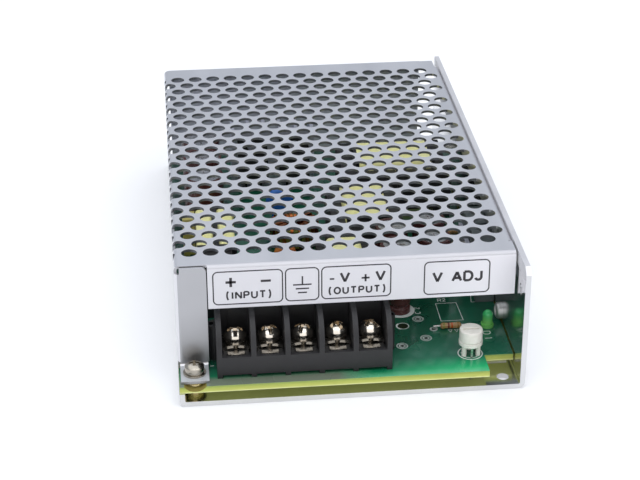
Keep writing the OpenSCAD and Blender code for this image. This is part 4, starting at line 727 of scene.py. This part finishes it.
# plain letters in a unit box: width beside height, then strokes, each a list of points
stem = [(0, 0), (0, 1)]
bowl = [(0, 1), (0.6, 1)] + arcPoints((0.6, 0.74), (0.4, 0.26), 80, -90) + [(0, 0.48)]
strokes = {
    "(": (0.3, [arcPoints((1.0, 0.5), (1.0, 0.72), 112, 248)]),
    ")": (0.3, [arcPoints((0.0, 0.5), (1.0, 0.72), 68, -68)]),
    "I": (0.12, [[(0.5, 0), (0.5, 1)]]),
    "N": (0.74, [stem, [(0, 1), (1, 0)], [(1, 0), (1, 1)]]),
    "P": (0.66, [stem, bowl]),
    "U": (0.72, [[(0, 1), (0, 0.36)] + arcPoints((0.5, 0.36), (0.5, 0.36), 190, 350) + [(1, 0.36), (1, 1)]]),
    "T": (0.74, [[(0, 1), (1, 1)], [(0.5, 1), (0.5, 0)]]),
    "O": (0.84, [arcPoints((0.5, 0.5), (0.5, 0.5), 0, 360, 20)]),
    "V": (0.84, [[(0, 1), (0.5, 0)], [(0.5, 0), (1, 1)]]),
    "A": (0.86, [[(0, 0), (0.5, 1)], [(0.5, 1), (1, 0)], [(0.18, 0.32), (0.82, 0.32)]]),
    "D": (0.8, [stem, [(0, 1), (0.5, 1)] + arcPoints((0.5, 0.5), (0.5, 0.5), 80, -80) + [(0.5, 0), (0, 0)]]),
    "J": (0.6, [[(1, 1), (1, 0.3)] + arcPoints((0.5, 0.3), (0.5, 0.3), -10, -165)]),
    "C": (0.72, [arcPoints((0.5, 0.5), (0.5, 0.5), 45, 315, 14)]),
    "R": (0.66, [stem, bowl, [(0.5, 0.48), (1, 0)]]),
    "1": (0.3, [[(0.2, 0.8), (0.7, 1)], [(0.7, 1), (0.7, 0)]]),
    "2": (0.6, [arcPoints((0.5, 0.72), (0.46, 0.28), 160, -40) + [(0, 0), (1, 0)]]),
}


# words as strokes: left, right, foot and height in mm; the gaps between letters take up the slack
def wordStrokes(words, left, right, foot, height, line):
    widths = [strokes[c][0] * (height - line) for c in words]
    gap = (right - left - line - sum(widths)) / max(len(words) - 1, 1)
    at, paths = left + line / 2, []
    for letter, width in zip(words, widths):
        for path in strokes[letter][1]:
            paths.append([(at + u * width, foot + line / 2 + v * (height - line)) for u, v in path])
        at += width + gap
    return paths


def strokeMesh(paths, line, thick, finish):
    verts, edges = [], []
    for path in paths:
        closed = len(path) > 3 and math.dist(path[0], path[-1]) < printWeld
        points = path[:-1] if closed else path
        first = len(verts)
        verts += [(x * mm, y * mm, 0) for x, y in points]
        edges += [(first + i, first + i + 1) for i in range(len(points) - 1)]
        if closed:
            edges.append((len(verts) - 1, first))
    return growMesh(roundedFrames, verts, edges, {
        "Corner Radius": 0.0, "Line Width": line * mm, "Thickness": thick * mm}, finish)


def barMesh(left, right, low, high, thick):
    work = bmesh.new()
    bmesh.ops.create_cube(work, size=1.0, matrix=Matrix.Translation(
        ((left + right) / 2 * mm, (low + high) / 2 * mm, 0)) @ Matrix.Diagonal(
        ((right - left) * mm, (high - low) * mm, thick * mm, 1)))
    mesh = bpy.data.meshes.new("bar")
    work.to_mesh(mesh)
    work.free()
    return mesh


# print on the lip: X and Z in mm
lipPrint = {
    "face": -68.5, "thick": 0.02,
    "frames": [(-37.9, -18.75, 25.7, 35.9), (-17.9, -8.7, 25.8, 35.9),
               (-7.87, 11.36, 25.9, 35.9), (20.8, 39.1, 25.6, 35.8)],
    "line": 0.36, "corner": 1.35,
    # words: left, right, foot, height, line
    "words": [("(INPUT)", -34.4, -21.9, 27.15, 2.5, 0.5), ("(OUTPUT)", -6.0, 9.9, 27.1, 2.4, 0.5),
              ("V", -2.9, -0.05, 30.7, 3.4, 0.68), ("V", 7.0, 9.8, 30.7, 3.4, 0.68),
              ("V", 22.95, 25.95, 29.2, 3.5, 0.72), ("ADJ", 28.4, 37.2, 29.15, 3.5, 0.74)],
    # bars: left, right, low, high
    "bars": [(-34.45, -31.6, 32.2, 32.95), (-33.4, -32.65, 31.1, 34.0),   # plus
             (-24.75, -21.95, 32.2, 32.9),                                # minus
             (-5.65, -4.4, 31.8, 32.3),                                   # output minus
             (3.2, 5.45, 31.65, 32.2), (4.05, 4.6, 30.8, 33.05),          # output plus
             (-13.45, -13.03, 30.9, 33.4), (-15.85, -10.7, 30.55, 30.98),  # ground
             (-15.1, -11.4, 29.3, 29.73), (-14.5, -12.0, 28.05, 28.48)],
}


def buildLipPrint(look):
    verts, edges = [], []
    for left, right, low, high in look["frames"]:
        first = len(verts)
        verts += [(x * mm, z * mm, 0) for x, z in ((left, low), (right, low), (right, high), (left, high))]
        edges += [(first + i, first + (i + 1) % 4) for i in range(4)]
    meshes = [growMesh(roundedFrames, verts, edges, {
        "Corner Radius": look["corner"] * mm, "Line Width": look["line"] * mm,
        "Thickness": look["thick"] * mm}, printDark)]
    for words in look["words"]:
        meshes.append(strokeMesh(wordStrokes(*words), words[-1], look["thick"], printDark))
    meshes += [barMesh(*bar, look["thick"]) for bar in look["bars"]]
    mesh = joinMeshes("lipPrint", meshes, printDark)
    # stand the sheet of marks up against the lip's front face
    mesh.transform(Matrix.Translation((0, (look["face"] - look["thick"] / 2) * mm, 0))
                   @ Matrix.Rotation(math.radians(90), 4, "X"))
    newPiece("lipPrint", mesh, "case")


buildLipPrint(lipPrint)
print("lip print made")

# print and tinned pads on the board: X and depth from the front in mm
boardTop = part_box("board")[1].z
boardMarks = {
    "thick": 0.03, "padThick": 0.06,
    "rings": [  # x, depth, radius at the middle of the line, line width
        (17.9, 36.8, 3.85, 1.3), (34.5, 10.4, 3.45, 0.3), (34.5, 10.4, 2.5, 0.2), (17.6, 27.5, 1.72, 0.22)],
    "pads": [(22.6, 31.1), (23.3, 20.0), (15.8, 16.3)],
    "padRings": [(1.5, 0.42), (0.8, 0.45)],  # radius, line width
    "joints": [(26.3, 24.8), (36.3, 24.8)], "jointRing": (0.9, 0.6),
    "line": 0.28,
    "paths": [
        [(29.2, 39.6), (35.4, 39.6), (35.8, 29.2), (29.2, 29.2), (29.2, 39.6)],   # empty box
        [(40.6, 44.0), (40.0, 39.5), (45.0, 39.5)],                               # outline at the wall
        arcPoints((17.6, 27.5), (1.95, 1.95), 130, 250),
        [(30.4, 24.0), (31.0, 22.7), (31.6, 24.0), (30.4, 24.0)],                 # two triangles
        [(32.2, 24.0), (32.8, 22.7), (33.4, 24.0), (32.2, 24.0)],
    ],
    # words: text, left, right, foot, height, line, quarter turns, centre
    "words": [
        ("C2", -1.9, 1.9, -0.9, 1.8, 0.26, 1, (23.1, 36.0)),
        ("R2", -1.3, 1.3, -0.9, 1.8, 0.26, 0, (31.3, 41.6)),
        ("D1", -2.2, 2.2, -1.2, 2.4, 0.3, 3, (41.3, 20.0)),
        ("T1", -3.0, 3.0, -0.65, 1.3, 0.26, 3, (-39.0, 13.8))],
}


def onBoard(mesh, thick):
    mesh.transform(Matrix.Translation((0, cadLow.y, boardTop + thick * mm / 2)))
    return mesh


def ringMeshes(places, radius, line, thick, finish):
    return growMesh(flatRings, [(x * mm, depth * mm, 0) for x, depth in places], [], {
        "Radius": radius * mm, "Line Width": line * mm, "Thickness": thick * mm}, finish)


def buildBoardPrint(look):
    thick, padThick = look["thick"], look["padThick"]
    meshes = [ringMeshes([(x, depth)], radius, line, thick, printWhite)
              for x, depth, radius, line in look["rings"]]
    meshes.append(strokeMesh(look["paths"], look["line"], thick, printWhite))
    for words, left, right, foot, height, line, turns, centre in look["words"]:
        mesh = strokeMesh(wordStrokes(words, left, right, foot, height, line), line, thick, printWhite)
        mesh.transform(Matrix.Translation((centre[0] * mm, centre[1] * mm, 0))
                       @ Matrix.Rotation(math.radians(90 * turns), 4, "Z"))
        meshes.append(mesh)
    mesh = onBoard(joinMeshes("boardPrint", meshes, printWhite), thick)
    newPiece("boardPrint", mesh, "case")
    pads = [ringMeshes(look["pads"], radius, line, padThick, padTin) for radius, line in look["padRings"]]
    pads.append(ringMeshes(look["joints"], *look["jointRing"], padThick, padTin))
    newPiece("solderPads", onBoard(joinMeshes("solderPads", pads, padTin), padThick), "case")


buildBoardPrint(boardMarks)
print("board print and pads made")

# pale paper under the object, just below its lowest point
floorLook = {"size": 6.0, "drop": 0.05, "glow": 0.14, "rough": 0.7, "cloud": 3.0,
             "dark": (0.86, 0.86, 0.87, 1.0), "light": (0.88, 0.88, 0.89, 1.0)}


def buildFloor(look):
    work = bmesh.new()
    bmesh.ops.create_grid(work, x_segments=1, y_segments=1, size=look["size"] / 2)
    mesh = bpy.data.meshes.new("floor")
    work.to_mesh(mesh)
    work.free()
    floor = bpy.data.objects.new("floor", mesh)
    floor.location.z = -look["drop"] * mm
    scene.collection.objects.link(floor)
    paper, tree, shader = newFinish("floorPaper", Roughness=look["rough"], **{
        "Emission Color": (1.0, 1.0, 1.0, 1.0), "Emission Strength": look["glow"]})
    cloud = noise(tree, objectPlace(tree), look["cloud"])
    tree.links.new(twoTone(tree, cloud, look["dark"], look["light"]), shader.inputs["Base Color"])
    mesh.materials.append(paper)


buildFloor(floorLook)

softboxes = {
    "overhead": dict(place=(0.0, 0.1, 1.15), size=(2.0, 1.6), power=10.0, aim=(0, 0, 0)),
    "front": dict(place=(0.12, -1.0, 0.85), size=(2.6, 1.5), power=11.5, aim=(0, -0.03, 0.02)),
}
for name, box in softboxes.items():
    lamp = bpy.data.lights.new(name, "AREA")
    lamp.shape = "RECTANGLE"
    lamp.size, lamp.size_y = box["size"]
    lamp.energy = box["power"]
    holder = bpy.data.objects.new(name, lamp)
    holder.location = box["place"]
    holder.rotation_euler = (Vector(box["aim"]) - Vector(box["place"])).to_track_quat("-Z", "Y").to_euler()
    scene.collection.objects.link(holder)

scene.world = scene.world or bpy.data.worlds.new("studio")
scene.world.use_nodes = True
# the room: pale behind and above the object, darker at the front
roomLook = {"bright": (0.52, 0.565, 0.635, 1.0), "dark": (0.15, 0.15, 0.16, 1.0),
            "lean": 0.7, "span": (-0.3, 0.7)}
room = scene.world.node_tree
direction = axes(room, addNode(room, "ShaderNodeTexCoord").outputs["Generated"])
lift = addNode(room, "ShaderNodeMath", {
    0: direction["Y"], 1: roomLook["lean"], 2: direction["Z"]}, operation="MULTIPLY_ADD").outputs[0]
sky = ramp(room, spread(room, lift, 0.0, 1.0, *roomLook["span"]), [
    (0.0, roomLook["dark"]), (1.0, roomLook["bright"])])
room.links.new(sky, room.nodes["Background"].inputs["Color"])
room.nodes["Background"].inputs["Strength"].default_value = 1.0
scene.view_settings.view_transform = "Standard"
scene.view_settings.look = "None"

# the camera that took the photo: place in metres, turn in degrees, lens and sensor in mm
cameraLook = {"place": (-0.04827, -0.47920, 0.25922), "turn": (62.495, 0.159, -5.638),
              "lens": 95.93, "sensor": 36.0}
lens = bpy.data.cameras.new("photoCamera")
lens.sensor_width = cameraLook["sensor"]
lens.sensor_fit = "HORIZONTAL"
lens.lens = cameraLook["lens"]
camera = bpy.data.objects.new("photoCamera", lens)
camera.location = cameraLook["place"]
camera.rotation_euler = [math.radians(a) for a in cameraLook["turn"]]
scene.collection.objects.link(camera)
scene.camera = camera
print("studio set up")
